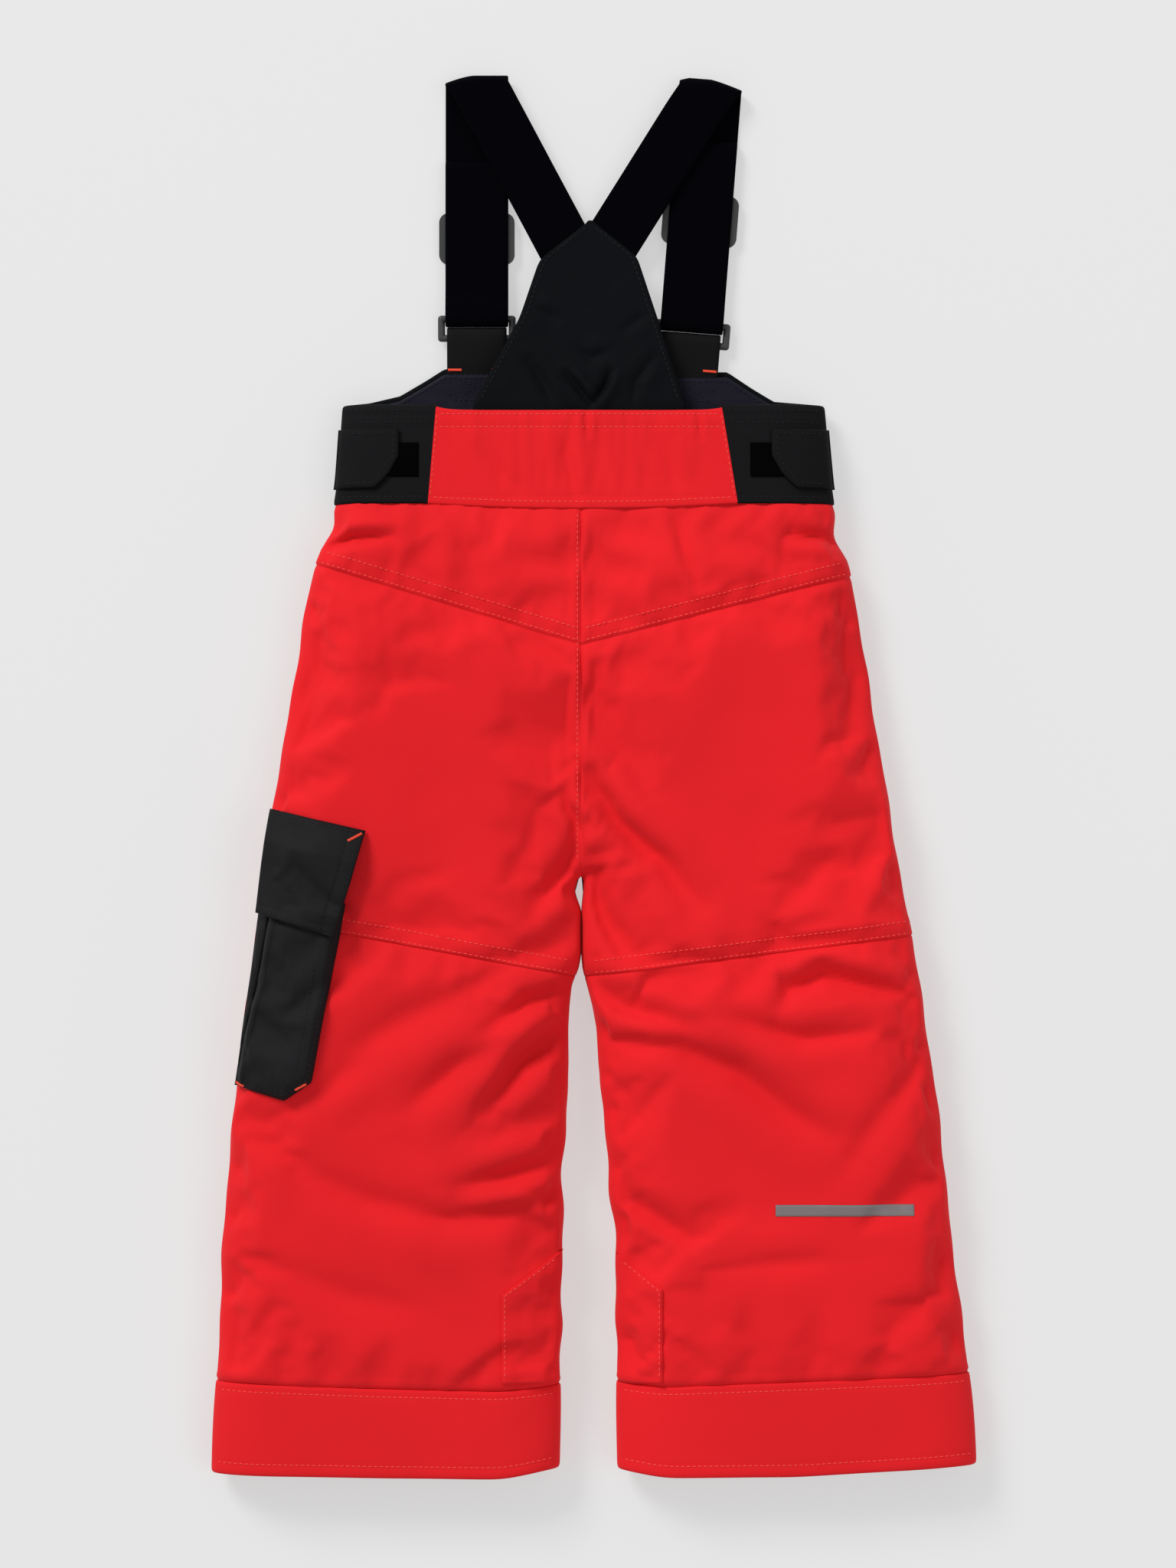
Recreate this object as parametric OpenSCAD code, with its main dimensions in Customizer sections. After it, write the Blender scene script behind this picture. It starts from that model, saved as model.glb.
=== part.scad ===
// Child's insulated bib ski pants, lying flat with the back facing up.
// +Z is up, +Y runs from the hems towards the shoulder straps, and X runs across.
// "Left" is the -X side. The origin is under the middle of the bounding box.

/* [Fabric] */
// Thickness of the insulated outer shell
shell_t = 2.2; // [1.8:0.1:2.4]
// Thickness of the inner lining
lining_t = 1.2; // [0.8:0.1:1.3]
// Clear space between neighbouring layers and panels
gap = 0.3; // [0.25:0.05:0.4]

/* [Loft] */
// Height of the thighs as they lie on the floor
leg_h = 39; // [36:1:42]
// Height of the waistband as it lies on the floor
waist_h = 25; // [24:1:28]

/* [Straps] */
// Width of the elastic shoulder straps
strap_w = 38; // [32:1:38]
// Thickness of the elastic shoulder straps
strap_t = 1.6; // [1.2:0.1:1.6]
// Radius of the bars in the rings and sliders
bar_r = 2.2; // [1.8:0.1:2.2]

/* [Cargo pocket] */
// How far the pouch stands off the leg
pouch_h = 10; // [9:0.5:11]

/* [Zippers] */
// Length of the fly zipper
fly_len = 165; // [140:5:170]
// Length of each hand pocket zipper
hand_zip_len = 90; // [70:5:95]

/* [Hidden] */
$fn = 24;

red = "#d8292d";
black = "#222326";
navy = "#1d1b2a";
plastic = "#3a3b3b";
steel = "#8f9194";

// Fold lines across the garment, and the other levels that the panels share
bib_y = 229;
waist_y = 168;
hip_y = 8;
knee_y = -230;
hem_y = -374;
bottom_y = -435;
mid_x = -8;

// Silhouette as [y, x], from the hems up to the waist
outer_left = [
    [-435, -236], [-425, -236.5], [-370, -233], [-280, -230], [-200, -223], [-130, -214], [-65, -205],
    [0, -196], [45, -188], [100, -180], [130, -173], [168, -160], [229, -156]
];
outer_right = [
    [-435, 236], [-425, 236.5], [-370, 232], [-280, 221], [-220, 215], [-165, 207], [-100, 198],
    [-75, 191], [0, 180], [82, 166], [124, 159], [168, 148], [229, 143]
];
inner_left = [[-435, -23], [-300, -20], [-220, -18], [-146, -14], [-115, -11], [8, -8.3]];
inner_right = [[-435, 16], [-300, 13], [-203, 6], [-165, 1], [-130, -6], [-115, -8], [8, -7.7]];

// Height of the top surface over the floor as [y, z]
top_z = [
    [-435, 31], [-374, 34], [-230, leg_h - 1], [-100, leg_h], [8, leg_h - 1], [100, leg_h - 2],
    [168, waist_h + 6], [229, waist_h]
];
// The widest level, as a share of that height
seam_share = 0.4;
// 2 would make the sections ellipses, and more makes them boxier
squareness = 5;
// The underside is lofted this much deeper, and pressed flat by the floor
press = 1.05;
// Turn at which a front panel starts, just past the side seam
side_turn = 0.004;

HIPS = 0;
LEFT = 1;
RIGHT = 2;

// Seams as [x0, y0, x1, y1]; panels stop half a gap short of them
waist_seam = [-160, waist_y, 148, waist_y];
left_v_seam = [-172, 129, mid_x, 81];
right_v_seam = [mid_x, 81, 158, 122];
left_thigh_seam = [-210, -88, -10, -124];
right_thigh_seam = [-8, -124, 198, -99];

function level(y) = [0, y, 1, y];
function on_seam(s, x) = s[1] + (s[3] - s[1]) * (x - s[0]) / (s[2] - s[0]);
function seam_y(tube, s, t) = on_seam(s, skin(tube, (s[1] + s[3]) / 2, t, 0)[0]);
function signed_pow(v, e) = sign(v) * pow(abs(v), e);
function seam_z(y) = seam_share * lookup(y, top_z);
function edges(tube, y) =
    tube == HIPS ? [lookup(y, outer_left), lookup(y, outer_right)]
    : tube == LEFT ? [lookup(y, outer_left), lookup(y, inner_left)]
    : [lookup(y, inner_right), lookup(y, outer_right)];

// A point of the garment's skin: t turns round the section, from 0 at the +X edge over the back
// (90) to the -X edge (180) and under the front (270); depth is measured inwards.
function skin(tube, y, t, depth) =
    let (
        e = edges(tube, y),
        half = (e[1] - e[0]) / 2 - depth,
        mid = (e[0] + e[1]) / 2,
        rise = (sin(t) >= 0 ? lookup(y, top_z) - seam_z(y) : press * seam_z(y)) - depth
    )
    [
        mid + half * signed_pow(cos(t), 2 / squareness),
        y,
        max(0, depth, seam_z(y) + rise * signed_pow(sin(t), 2 / squareness))
    ];

// The angle at which the skin has a given x, on the back
function turn_at(tube, y, x) =
    let (e = edges(tube, y), u = (x - (e[0] + e[1]) / 2) / ((e[1] - e[0]) / 2))
    acos(signed_pow(max(-1, min(1, u)), squareness / 2));

// Where the panels of the left or the right half meet, on the back
function mid_turn(side) = turn_at(HIPS, hip_y, mid_x + side * gap / 2);

function quad(a, b, c, d) = [[a, b, c], [a, c, d]];

// Closes two matching grids of points, outside and inside, into one solid
module between(outside, inside, wrap = false) {
    rows = len(outside);
    n = len(outside[0]);
    cols = wrap ? n : n - 1;
    function id(s, j, i) = (s * rows + j) * n + i % n;
    polyhedron(
        points = concat([for (r = outside) each r], [for (r = inside) each r]),
        faces = concat(
            [for (j = [0:rows - 2], i = [0:cols - 1])
                each quad(id(0, j, i), id(0, j + 1, i), id(0, j + 1, i + 1), id(0, j, i + 1))],
            [for (j = [0:rows - 2], i = [0:cols - 1])
                each quad(id(1, j, i), id(1, j, i + 1), id(1, j + 1, i + 1), id(1, j + 1, i))],
            [for (i = [0:cols - 1])
                each quad(id(0, 0, i), id(0, 0, i + 1), id(1, 0, i + 1), id(1, 0, i))],
            [for (i = [0:cols - 1])
                each quad(
                    id(0, rows - 1, i), id(1, rows - 1, i), id(1, rows - 1, i + 1), id(0, rows - 1, i + 1)
                )],
            wrap ? [] : [for (j = [0:rows - 2])
                each quad(id(0, j, 0), id(1, j, 0), id(1, j + 1, 0), id(0, j + 1, 0))],
            wrap ? [] : [for (j = [0:rows - 2])
                each quad(id(0, j, n - 1), id(0, j + 1, n - 1), id(1, j + 1, n - 1), id(1, j, n - 1))]
        )
    );
}

// A piece of fabric on the skin, from seam top to seam bottom and from turn t0 to turn t1
// at its top edge (s0 to s1 at its bottom edge), between two depths.
module panel(tube, top, bottom, t0, t1, depths, s0 = undef, s1 = undef, rows = 4, cols = 6) {
    e0 = is_undef(s0) ? t0 : s0;
    e1 = is_undef(s1) ? t1 : s1;
    function at(j, i, depth) =
        let (
            v = j / rows,
            a = t0 + (e0 - t0) * v,
            b = t1 + (e1 - t1) * v,
            t = a + (b - a) * i / cols,
            y0 = seam_y(tube, top, t) - gap / 2,
            y1 = seam_y(tube, bottom, t) + gap / 2
        )
        skin(tube, y0 + (y1 - y0) * v, t, depth);
    between(
        [for (j = [0:rows]) [for (i = [0:cols]) at(j, i, depths[0])]],
        [for (j = [0:rows]) [for (i = [0:cols]) at(j, i, depths[1])]]
    );
}

// A sleeve that goes all the way round a tube
module sleeve(tube, y0, y1, depths, rows = 4, cols = 24, end_depths = undef) {
    last = is_undef(end_depths) ? depths : end_depths;
    function at(j, i, k) =
        let (v = j / rows)
        skin(tube, y0 + (y1 - y0) * v, i * 360 / cols, depths[k] + (last[k] - depths[k]) * v);
    between(
        [for (j = [0:rows]) [for (i = [0:cols - 1]) at(j, i, 0)]],
        [for (j = [0:rows]) [for (i = [0:cols - 1]) at(j, i, 1)]],
        wrap = true
    );
}

shell = [0, shell_t];
lining = [shell_t + 3 * gap, shell_t + 3 * gap + lining_t];

// ---- Zippers -------------------------------------------------------------------------------

zip_axis_z = 1.7;
slider_z = zip_axis_z + 1;
teeth_z = slider_z + 1.3;
teeth_h = 2;
tape_z = teeth_z + 0.7;
zip_slot = 6.5;
fly_top = 226;
hand_zip_x = 96;
hand_zip_y = 112;
hand_zip_turn = 22;

// Every zipper runs down from its own origin along -Y, with its outer face towards the floor
module zip_tapes(length) {
    for (s = [-1, 1])
        translate([s > 0 ? 2.2 : -12, -length, tape_z])
            cube([9.8, length, 0.6]);
}

module zip_teeth(length) {
    for (s = [-1, 1])
        translate([s > 0 ? 0.7 : -2, -length, teeth_z])
            cube([1.3, length, teeth_h]);
}

module zip_slider() {
    plate = 1;
    back_z = teeth_z + teeth_h + 0.3;
    module flat(z)
        translate([0, -5.5, z])
            linear_extrude(plate)
                polygon([[-4.3, 3], [-2.6, 5.5], [2.6, 5.5], [4.3, 3], [4.3, -5.5], [-4.3, -5.5]]);
    flat(slider_z);
    flat(back_z);
    translate([-0.4, -4, slider_z])
        cube([0.8, 3, back_z - slider_z + plate]);
    for (s = [-1, 1]) {
        translate([s * 3.8 - 0.5, -11, slider_z])
            cube([1, 8, 1.7]);
        translate([s * 3.8 - 0.5, -11, tape_z + 1])
            cube([1, 8, back_z - tape_z]);
    }
    difference() {
        translate([-0.6, -7.1, zip_axis_z - 1.5])
            cube([1.2, 3.2, 2.6]);
        translate([0, -5.5, zip_axis_z])
            rotate([0, 90, 0])
                cylinder(r = 0.95, h = 4, center = true);
    }
}

module zip_pull(length = 16) {
    translate([0, -5.5, zip_axis_z]) {
        rotate([0, 90, 0])
            cylinder(r = 0.5, h = 5, center = true);
        for (s = [-1, 1])
            translate([s * 1.9 - 0.6, -3.2, -0.5])
                cube([1.2, 3.2, 1]);
        translate([-2.5, -length, -0.5])
            cube([5, length - 3, 1]);
    }
}

module zip_cut(length)
    translate([-zip_slot, -length - 1, -1])
        cube([2 * zip_slot, length + 3, 12]);

module at_fly()
    translate([mid_x, fly_top, 0])
        children();

module at_hand_zip(side)
    translate([mid_x + side * hand_zip_x, hand_zip_y, 0])
        rotate([0, 0, side * hand_zip_turn])
            translate([0, hand_zip_len / 2, 0])
                children();

module all_zip_cuts() {
    at_fly()
        translate([0, 5, 0])
            zip_cut(fly_len + 5);
    for (side = [-1, 1])
        at_hand_zip(side)
            zip_cut(hand_zip_len);
}

// ---- Hips: the fixed body -------------------------------------------------------------------

// One half of the back, between two seams
module half_back(side, top, bottom)
    color(red)
        panel(
            HIPS, top, bottom, side < 0 ? mid_turn(-1) : 0, side < 0 ? 180 : mid_turn(1), shell
        );

module yoke(side)
    half_back(side, waist_seam, side < 0 ? left_v_seam : right_v_seam);

module seat(side)
    half_back(side, side < 0 ? left_v_seam : right_v_seam, level(hip_y));

module front_hip(side)
    color(red)
        difference() {
            panel(
                HIPS, waist_seam, level(hip_y),
                side < 0 ? 180 + side_turn : 360 - mid_turn(1),
                side < 0 ? 360 - mid_turn(-1) : 360 - side_turn, shell
            );
            all_zip_cuts();
        }

// The back waistband ends at slanted side seams
function band_turn(side, y, shift = 0) =
    turn_at(HIPS, y, (side < 0 ? -98 - (bib_y - y) * 0.08 : 79 + (bib_y - y) * 0.16) + shift);

module back_waistband()
    color(red)
        panel(
            HIPS, level(bib_y), waist_seam,
            band_turn(1, bib_y, -gap), band_turn(-1, bib_y, gap), shell,
            band_turn(1, waist_y, -gap), band_turn(-1, waist_y, gap), cols = 6
        );

module side_band(side)
    color(black)
        difference() {
            if (side < 0)
                panel(
                    HIPS, level(bib_y), waist_seam,
                    band_turn(-1, bib_y), 360 - mid_turn(-1), shell,
                    band_turn(-1, waist_y), 360 - mid_turn(-1), cols = 12
                );
            else
                panel(
                    HIPS, level(bib_y), waist_seam,
                    -mid_turn(1), band_turn(1, bib_y), shell,
                    -mid_turn(1), band_turn(1, waist_y), cols = 12
                );
            all_zip_cuts();
        }

// Loop patches are sewn on the side bands, and the tabs close over them
patch_t = 0.8;
patch_depths = [-gap - patch_t, -gap];
tab_depths = [-3 * gap - patch_t - shell_t, -3 * gap - patch_t];
waist_patch_x = [[-140, -109], [97, 128]];
waist_patch_y = [205, 184];
tab_mid_y = 195;

module waist_loop_patches()
    color(black)
        for (x = waist_patch_x)
            panel(
                HIPS, level(waist_patch_y[0]), level(waist_patch_y[1]),
                turn_at(HIPS, tab_mid_y, x[1]), turn_at(HIPS, tab_mid_y, x[0]),
                patch_depths, rows = 1, cols = 3
            );

elastic_y = [226, 212];
elastic_x = [74, -93];

module waist_elastic() {
    mid_y = (elastic_y[0] + elastic_y[1]) / 2;
    color("#e6e6e6")
        panel(
            HIPS, level(elastic_y[0]), level(elastic_y[1]),
            turn_at(HIPS, mid_y, elastic_x[0]), turn_at(HIPS, mid_y, elastic_x[1]),
            lining, rows = 1, cols = 6
        );
}

// The hips' lining starts below the elastic
hip_lining_top = 210;

module hip_lining()
    color(navy)
        difference() {
            sleeve(HIPS, hip_lining_top, hip_y + gap, lining, rows = 10);
            all_zip_cuts();
        }

module fly_zip_tapes()
    color(black)
        at_fly()
            zip_tapes(fly_len);

module fly_zip_teeth()
    color(plastic)
        at_fly()
            zip_teeth(fly_len);

guard_z = teeth_z + teeth_h + 2;

module fly_guard()
    color(navy)
        translate([mid_x - 15, fly_top - fly_len - 8, guard_z])
            cube([30, fly_len + 6, lining_t]);

module hand_pocket_zips()
    for (side = [-1, 1])
        at_hand_zip(side) {
            color(black)
                zip_tapes(hand_zip_len);
            color(plastic)
                zip_teeth(hand_zip_len);
        }

// Flat pocket bags behind the hand pocket zippers: distance from the middle, height, size, corners
bag_x = 84;
bag_y = 100;
bag_size = [84, 120];
bag_corner_r = 12;

module hand_pocket_bags()
    color(navy)
        for (side = [-1, 1])
            translate([mid_x + side * bag_x, bag_y, guard_z])
                linear_extrude(lining_t)
                    offset(r = bag_corner_r, $fn = 16)
                        square(bag_size - 2 * [bag_corner_r, bag_corner_r], center = true);

// ---- Legs: both thighs fold together --------------------------------------------------------

module thigh_back(tube)
    color(red)
        panel(
            tube, level(hip_y), tube == LEFT ? left_thigh_seam : right_thigh_seam, 0, 180, shell, cols = 12
        );

module knee_back(tube)
    color(red)
        panel(
            tube, tube == LEFT ? left_thigh_seam : right_thigh_seam, level(knee_y), 0, 180, shell, cols = 12
        );

module thigh_front(tube)
    color(red)
        panel(
            tube, level(hip_y), level(knee_y), 180 + side_turn, 360 - side_turn, shell,
            rows = 6, cols = 12
        );

module thigh_linings()
    color(navy)
        for (tube = [LEFT, RIGHT])
            sleeve(tube, hip_y - gap, knee_y + gap, lining, rows = 6);

pouch_top = [-197, -34, -141, -47];
pouch_bottom = [-220, -196, -176, -201];
flap_top = [-197, -22, -141.5, -35];
flap_bottom = [-207, -86, -159.5, -99];

pouch_wall = 1;
flap_t = 1.8;

// The pouch is open at the top, under the flap
module cargo_pouch()
    color(black)
        difference() {
            panel(
                LEFT, pouch_top, pouch_bottom, turn_at(LEFT, -45, -144), 180,
                [-pouch_h, -gap], turn_at(LEFT, -198, -178), 180, rows = 5, cols = 8
            );
            panel(
                LEFT, pouch_top + [0, 6, 0, 6], pouch_bottom + [0, 2, 0, 2],
                turn_at(LEFT, -45, -146), 176, [-pouch_h + pouch_wall, -gap - 0.8],
                turn_at(LEFT, -196, -180), 176, rows = 5, cols = 8
            );
        }

module cargo_loop_patch()
    color(black)
        panel(
            LEFT, [-200, -62, -150, -74], [-200, -80, -150, -92], turn_at(LEFT, -76, -160),
            turn_at(LEFT, -76, -185), [-pouch_h - gap - patch_t, -pouch_h - gap], rows = 1, cols = 3
        );

module cargo_flap()
    color(black)
        panel(
            LEFT, flap_top, flap_bottom, turn_at(LEFT, -30, -141.5), 166,
            [-pouch_h - 3 * gap - patch_t - flap_t, -pouch_h - 3 * gap - patch_t],
            turn_at(LEFT, -95, -159.5), 166, rows = 3, cols = 7
        );

// ---- Shins ----------------------------------------------------------------------------------

hem_t = 3.4;
hem_proud = 1.2;

module shin_back(tube)
    color(red)
        panel(tube, level(knee_y), level(hem_y), 0, 180, shell, cols = 12);

module shin_front(tube)
    color(red)
        panel(tube, level(knee_y), level(hem_y), 180 + side_turn, 360 - side_turn, shell, cols = 12);

// The hem is folded double, so it is thicker and stands a little proud
module hem_band(tube)
    color(red)
        sleeve(tube, hem_y - gap, bottom_y, [-hem_proud, hem_t - hem_proud], rows = 2);

// The lining ends inside the hem band
module shin_lining(tube)
    color(navy)
        sleeve(tube, knee_y - gap, hem_y - 21, lining);

// An elastic cuff inside each leg: sewn to the lining above the hem, and drawn in at its lower end
gaiter_top = hem_y + 44;
gaiter_bottom = hem_y - 48;
gaiter_end_depths = [8.5, 9.7];

module snow_gaiter(tube)
    color(black)
        sleeve(
            tube, gaiter_top, gaiter_bottom, [lining[1] + gap, lining[1] + gap + 1],
            rows = 3, end_depths = gaiter_end_depths
        );

scuff_top_left = [-57, -320, -20, -296];
scuff_top_right = [42, -317, 14, -297];

// A wear patch round the inner ankle, from the back to a little under the leg
module scuff_guard(tube) {
    top = tube == LEFT ? scuff_top_left : scuff_top_right;
    edge = turn_at(tube, -350, top[0]);
    under = 30;
    color(red)
        panel(
            tube, top, level(hem_y + 1.5), tube == LEFT ? -under : edge, tube == LEFT ? edge : 180 + under,
            [-gap - 0.9, -gap], rows = 2, cols = 9
        );
}

// Reflective print: height of its middle, and its two ends
bar_y = -268;
bar_h = 7;
bar_x = [196, 112];

module reflective_bar()
    color("#8a8486")
        panel(
            RIGHT, level(bar_y + bar_h / 2), level(bar_y - bar_h / 2),
            turn_at(RIGHT, bar_y, bar_x[0]), turn_at(RIGHT, bar_y, bar_x[1]),
            [-gap - 0.4, -gap], rows = 1, cols = 5
        );

// ---- Bib and straps -------------------------------------------------------------------------

bib_z = 1.6;
bib_t = 1.8;
tab_z = bib_z + bib_t + 0.2;
tab_t = 1.6;
bib_lining_z = tab_z + tab_t + 0.2;
bar_z = tab_z + tab_t / 2;
loop_r = bar_r + gap;

// Outline of one half of the bib, with its armhole
module bib_half(side, inset = 0)
    intersection() {
        polygon(
            side < 0
            ? [[-155, bib_y], [mid_x, bib_y], [mid_x, 252], [-93, 252], [-104, 245], [-121, 235], [-140, 230.5]]
            : [[142, bib_y], [mid_x, bib_y], [mid_x, 250], [83, 250], [98, 240], [112, 231.5], [128, 230.2]]
        );
        translate([side < 0 ? -200 : mid_x + gap / 2, bib_y + gap / 2])
            square([200 + (side < 0 ? mid_x - gap / 2 : 0), 30 - inset]);
    }

snap_at = [mid_x + 11, 241];
snap_post_r = 2;

module snap_hole()
    translate([snap_at[0], snap_at[1], 0])
        cylinder(r = snap_post_r + 0.2, h = 20);

module bib(side)
    color(black)
        difference() {
            translate([0, 0, bib_z])
                linear_extrude(bib_t)
                    bib_half(side);
            snap_hole();
        }

module bib_lining()
    color(navy)
        difference() {
            for (side = [-1, 1])
                translate([0, 0, bib_lining_z])
                    linear_extrude(1)
                        bib_half(side, 9);
            snap_hole();
        }

closure_z = bib_lining_z + 1.2;

module bib_closure_tab()
    color(black)
        difference() {
            translate([mid_x - 24, bib_y + 5, closure_z])
                linear_extrude(1.2)
                    hull() {
                        square([30, 14]);
                        translate([34, 7])
                            circle(r = 7, $fn = 32);
                    }
            snap_hole();
        }

module bib_snap()
    color(steel)
        translate([snap_at[0], snap_at[1], 0]) {
            translate([0, 0, bib_z - 1.3])
                cylinder(r = 6, h = 1.1, $fn = 48);
            translate([0, 0, bib_z - 0.3])
                cylinder(r = snap_post_r, h = closure_z + 1.8 - bib_z);
            translate([0, 0, closure_z + 1.4])
                cylinder(r = 5, h = 1.2, $fn = 48);
        }

// Where each strap's front run starts, at the ring's lower bar, and how it leans
function strap_origin(side) = side < 0 ? [-73, 271.8] : [59.9, 268.2];
function strap_lean(side) = side < 0 ? 0 : -4.5;

module at_strap(side)
    translate([strap_origin(side)[0], strap_origin(side)[1], 0])
        rotate([0, 0, strap_lean(side)])
            children();

ring_w = 48.5;
ring_rise = 12;
swing = 8;
slot_rise = ring_rise * sin(swing) + 0.3;

// A plate, seen from the side, that ends in an eye round a bar at the origin
module eye_plate(width, length, thickness)
    translate([-width / 2, 0, bar_z])
        rotate([90, 0, 90])
            linear_extrude(width)
                difference() {
                    union() {
                        circle(r = loop_r + 1.2, $fn = 32);
                        translate([-length, -thickness / 2])
                            square([length, thickness]);
                    }
                    circle(r = loop_r, $fn = 32);
                }

module strap_tab(side)
    color(black)
        at_strap(side)
            difference() {
                eye_plate(strap_w - 2, side < 0 ? 36 : 34, tab_t);
                translate([0, 0, bar_z])
                    rotate([0, 90, 0])
                        cylinder(r = loop_r, h = 2 * strap_w, center = true, $fn = 32);
            }

// Rectangular ring: two round bars across and two round bars up, joined at the corners
module ring(side)
    color(plastic)
        at_strap(side)
            translate([0, 0, bar_z]) {
                for (y = [0, ring_rise])
                    translate([0, y, 0])
                        rotate([0, 90, 0])
                            cylinder(r = bar_r, h = ring_w - 2 * bar_r, center = true, $fn = 32);
                for (s = [-1, 1])
                    translate([s * (ring_w / 2 - bar_r), 0, 0]) {
                        rotate([-90, 0, 0])
                            cylinder(r = bar_r, h = ring_rise, $fn = 32);
                        for (y = [0, ring_rise])
                            translate([0, y, 0])
                                sphere(r = bar_r, $fn = 32);
                    }
            }

run_z = bar_z - loop_r - strap_t;
return_z = bar_z + loop_r + slot_rise;
fold_z = run_z + 8.7;
fold_y = 435;
fold_r = (fold_z + strap_t - run_z) / 2;
slider_t = 2.8;
slider_z0 = run_z + strap_t + gap;
cover_z = slider_z0 + slider_t + gap;
cover_start = 24;

// The strap runs up from the ring to the shoulder fold and comes back down to the back panel.
// Its end goes round the ring and back over the slider, and is sewn down above it.
module strap(side) {
    loop_y = ring_rise - loop_r - 0.3;
    top = fold_y - strap_origin(side)[1] - fold_r - (side < 0 ? 0 : 2.5);
    cover_end = side < 0 ? 105 : 122;
    color("#0c0c12") {
        at_strap(side) {
            translate([-strap_w / 2, loop_y, run_z])
                cube([strap_w, top - loop_y, strap_t]);
            translate([-strap_w / 2, loop_y, return_z])
                cube([strap_w, cover_start - loop_y, strap_t]);
            translate([-strap_w / 2, cover_start, cover_z])
                cube([strap_w, strap_t, return_z + strap_t - cover_z]);
            translate([-strap_w / 2, cover_start, cover_z])
                cube([strap_w, cover_end - cover_start, strap_t]);
            translate([-strap_w / 2, cover_end, run_z])
                cube([strap_w, strap_t, cover_z + strap_t - run_z]);
            translate([-strap_w / 2, loop_y - strap_t, run_z])
                cube([strap_w, strap_t, return_z + strap_t - run_z]);
            translate([-strap_w / 2, top, run_z + fold_r])
                rotate([90, 0, 90])
                    linear_extrude(strap_w)
                        intersection() {
                            difference() {
                                circle(r = fold_r, $fn = 48);
                                circle(r = fold_r - strap_t, $fn = 48);
                            }
                            translate([0, -fold_r])
                                square([fold_r, 2 * fold_r]);
                        }
        }
        translate([0, 0, fold_z])
            linear_extrude(strap_t)
                polygon(
                    side < 0
                    ? [[-92, 430.2], [-54, 430.2], [-4.3, 343], [-4.3, 337], [-30, 313], [-33, 319.7]]
                    : [[53.5, 428.6], [91.3, 425.6], [26, 321.5], [23, 315], [0, 337], [0, 343.4]]
                );
    }
}

// Three-bar slider on the strap's front run
module strap_slider(side)
    color(plastic)
        at_strap(side)
            translate([0, side < 0 ? 62 : 77.5, slider_z0])
                linear_extrude(slider_t)
                    difference() {
                        offset(r = 6, $fn = 32)
                            square([35, 20], center = true);
                        for (y = [-7.8, 7.8])
                            translate([0, y])
                                square([strap_w, 8], center = true);
                    }

// The back panel slopes from the waistband down to where the straps meet
apex = [-2.2, 343.9];
panel_low_z = fold_z + strap_t + gap;
panel_high_z = waist_h - 4.5;

module back_panel() {
    tilt = atan((panel_high_z - panel_low_z) / (apex[1] - bib_y));
    color(black)
        translate([0, apex[1], panel_low_z])
            rotate([-tilt, 0, 0])
                linear_extrude(1.8)
                    polygon([
                        for (p = [
                            apex, [-33, 319.7], [-45.5, 282.6], [-56, 263.6], [-73.5, bib_y + 1],
                            [55, bib_y + 1], [46.2, 258.3], [38, 284], [25.7, 321.6]
                        ])
                        [p[0], p[1] - apex[1]]
                    ]);
}

// ---- Waist tabs -----------------------------------------------------------------------------

tab_y = [213, 177.5];

// Each tab starts at the side seam, and its free end slants
module waist_tab(side)
    color(black)
        panel(
            HIPS, level(tab_y[0]), level(tab_y[1]),
            side < 0 ? turn_at(HIPS, tab_mid_y, -122) : 0, side < 0 ? 180 : turn_at(HIPS, tab_mid_y, 111),
            tab_depths,
            side < 0 ? turn_at(HIPS, tab_mid_y, -132) : 0, side < 0 ? 180 : turn_at(HIPS, tab_mid_y, 121),
            rows = 2, cols = 5
        );

module fly_zip_slider()
    color(steel)
        at_fly()
            translate([0, -4, 0])
                zip_slider();

module fly_zip_pull()
    color(steel)
        at_fly()
            translate([0, -4, 0])
                zip_pull();

module pocket_puller(side)
    color(steel)
        at_hand_zip(side)
            translate([0, -3, 0]) {
                zip_slider();
                zip_pull();
            }

yoke(-1);  // left_yoke
yoke(1);  // right_yoke
seat(-1);  // left_seat
seat(1);  // right_seat
front_hip(-1);  // left_front_hip
front_hip(1);  // right_front_hip
back_waistband();
side_band(-1);  // left_side_band
side_band(1);  // right_side_band
waist_loop_patches();
waist_elastic();
hip_lining();
fly_zip_tapes();
fly_zip_teeth();
fly_guard();
hand_pocket_zips();
hand_pocket_bags();
thigh_back(LEFT);  // left_thigh_back
thigh_back(RIGHT);  // right_thigh_back
knee_back(LEFT);  // left_knee_back
knee_back(RIGHT);  // right_knee_back
thigh_front(LEFT);  // left_thigh_front
thigh_front(RIGHT);  // right_thigh_front
thigh_linings();
cargo_pouch();
cargo_loop_patch();
shin_back(LEFT);  // left_shin_back
shin_back(RIGHT);  // right_shin_back
shin_front(LEFT);  // left_shin_front
shin_front(RIGHT);  // right_shin_front
hem_band(LEFT);  // left_hem_band
hem_band(RIGHT);  // right_hem_band
shin_lining(LEFT);  // left_shin_lining
shin_lining(RIGHT);  // right_shin_lining
snow_gaiter(LEFT);  // left_snow_gaiter
snow_gaiter(RIGHT);  // right_snow_gaiter
scuff_guard(LEFT);  // left_scuff_guard
scuff_guard(RIGHT);  // right_scuff_guard
reflective_bar();
bib(-1);  // left_bib
bib(1);  // right_bib
bib_lining();
strap_tab(-1);  // left_strap_tab
strap_tab(1);  // right_strap_tab
back_panel();
strap(-1);  // left_strap
strap(1);  // right_strap
bib_closure_tab();
bib_snap();
ring(-1);  // left_ring
ring(1);  // right_ring
strap_slider(-1);  // left_slider
strap_slider(1);  // right_slider
cargo_flap();
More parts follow.
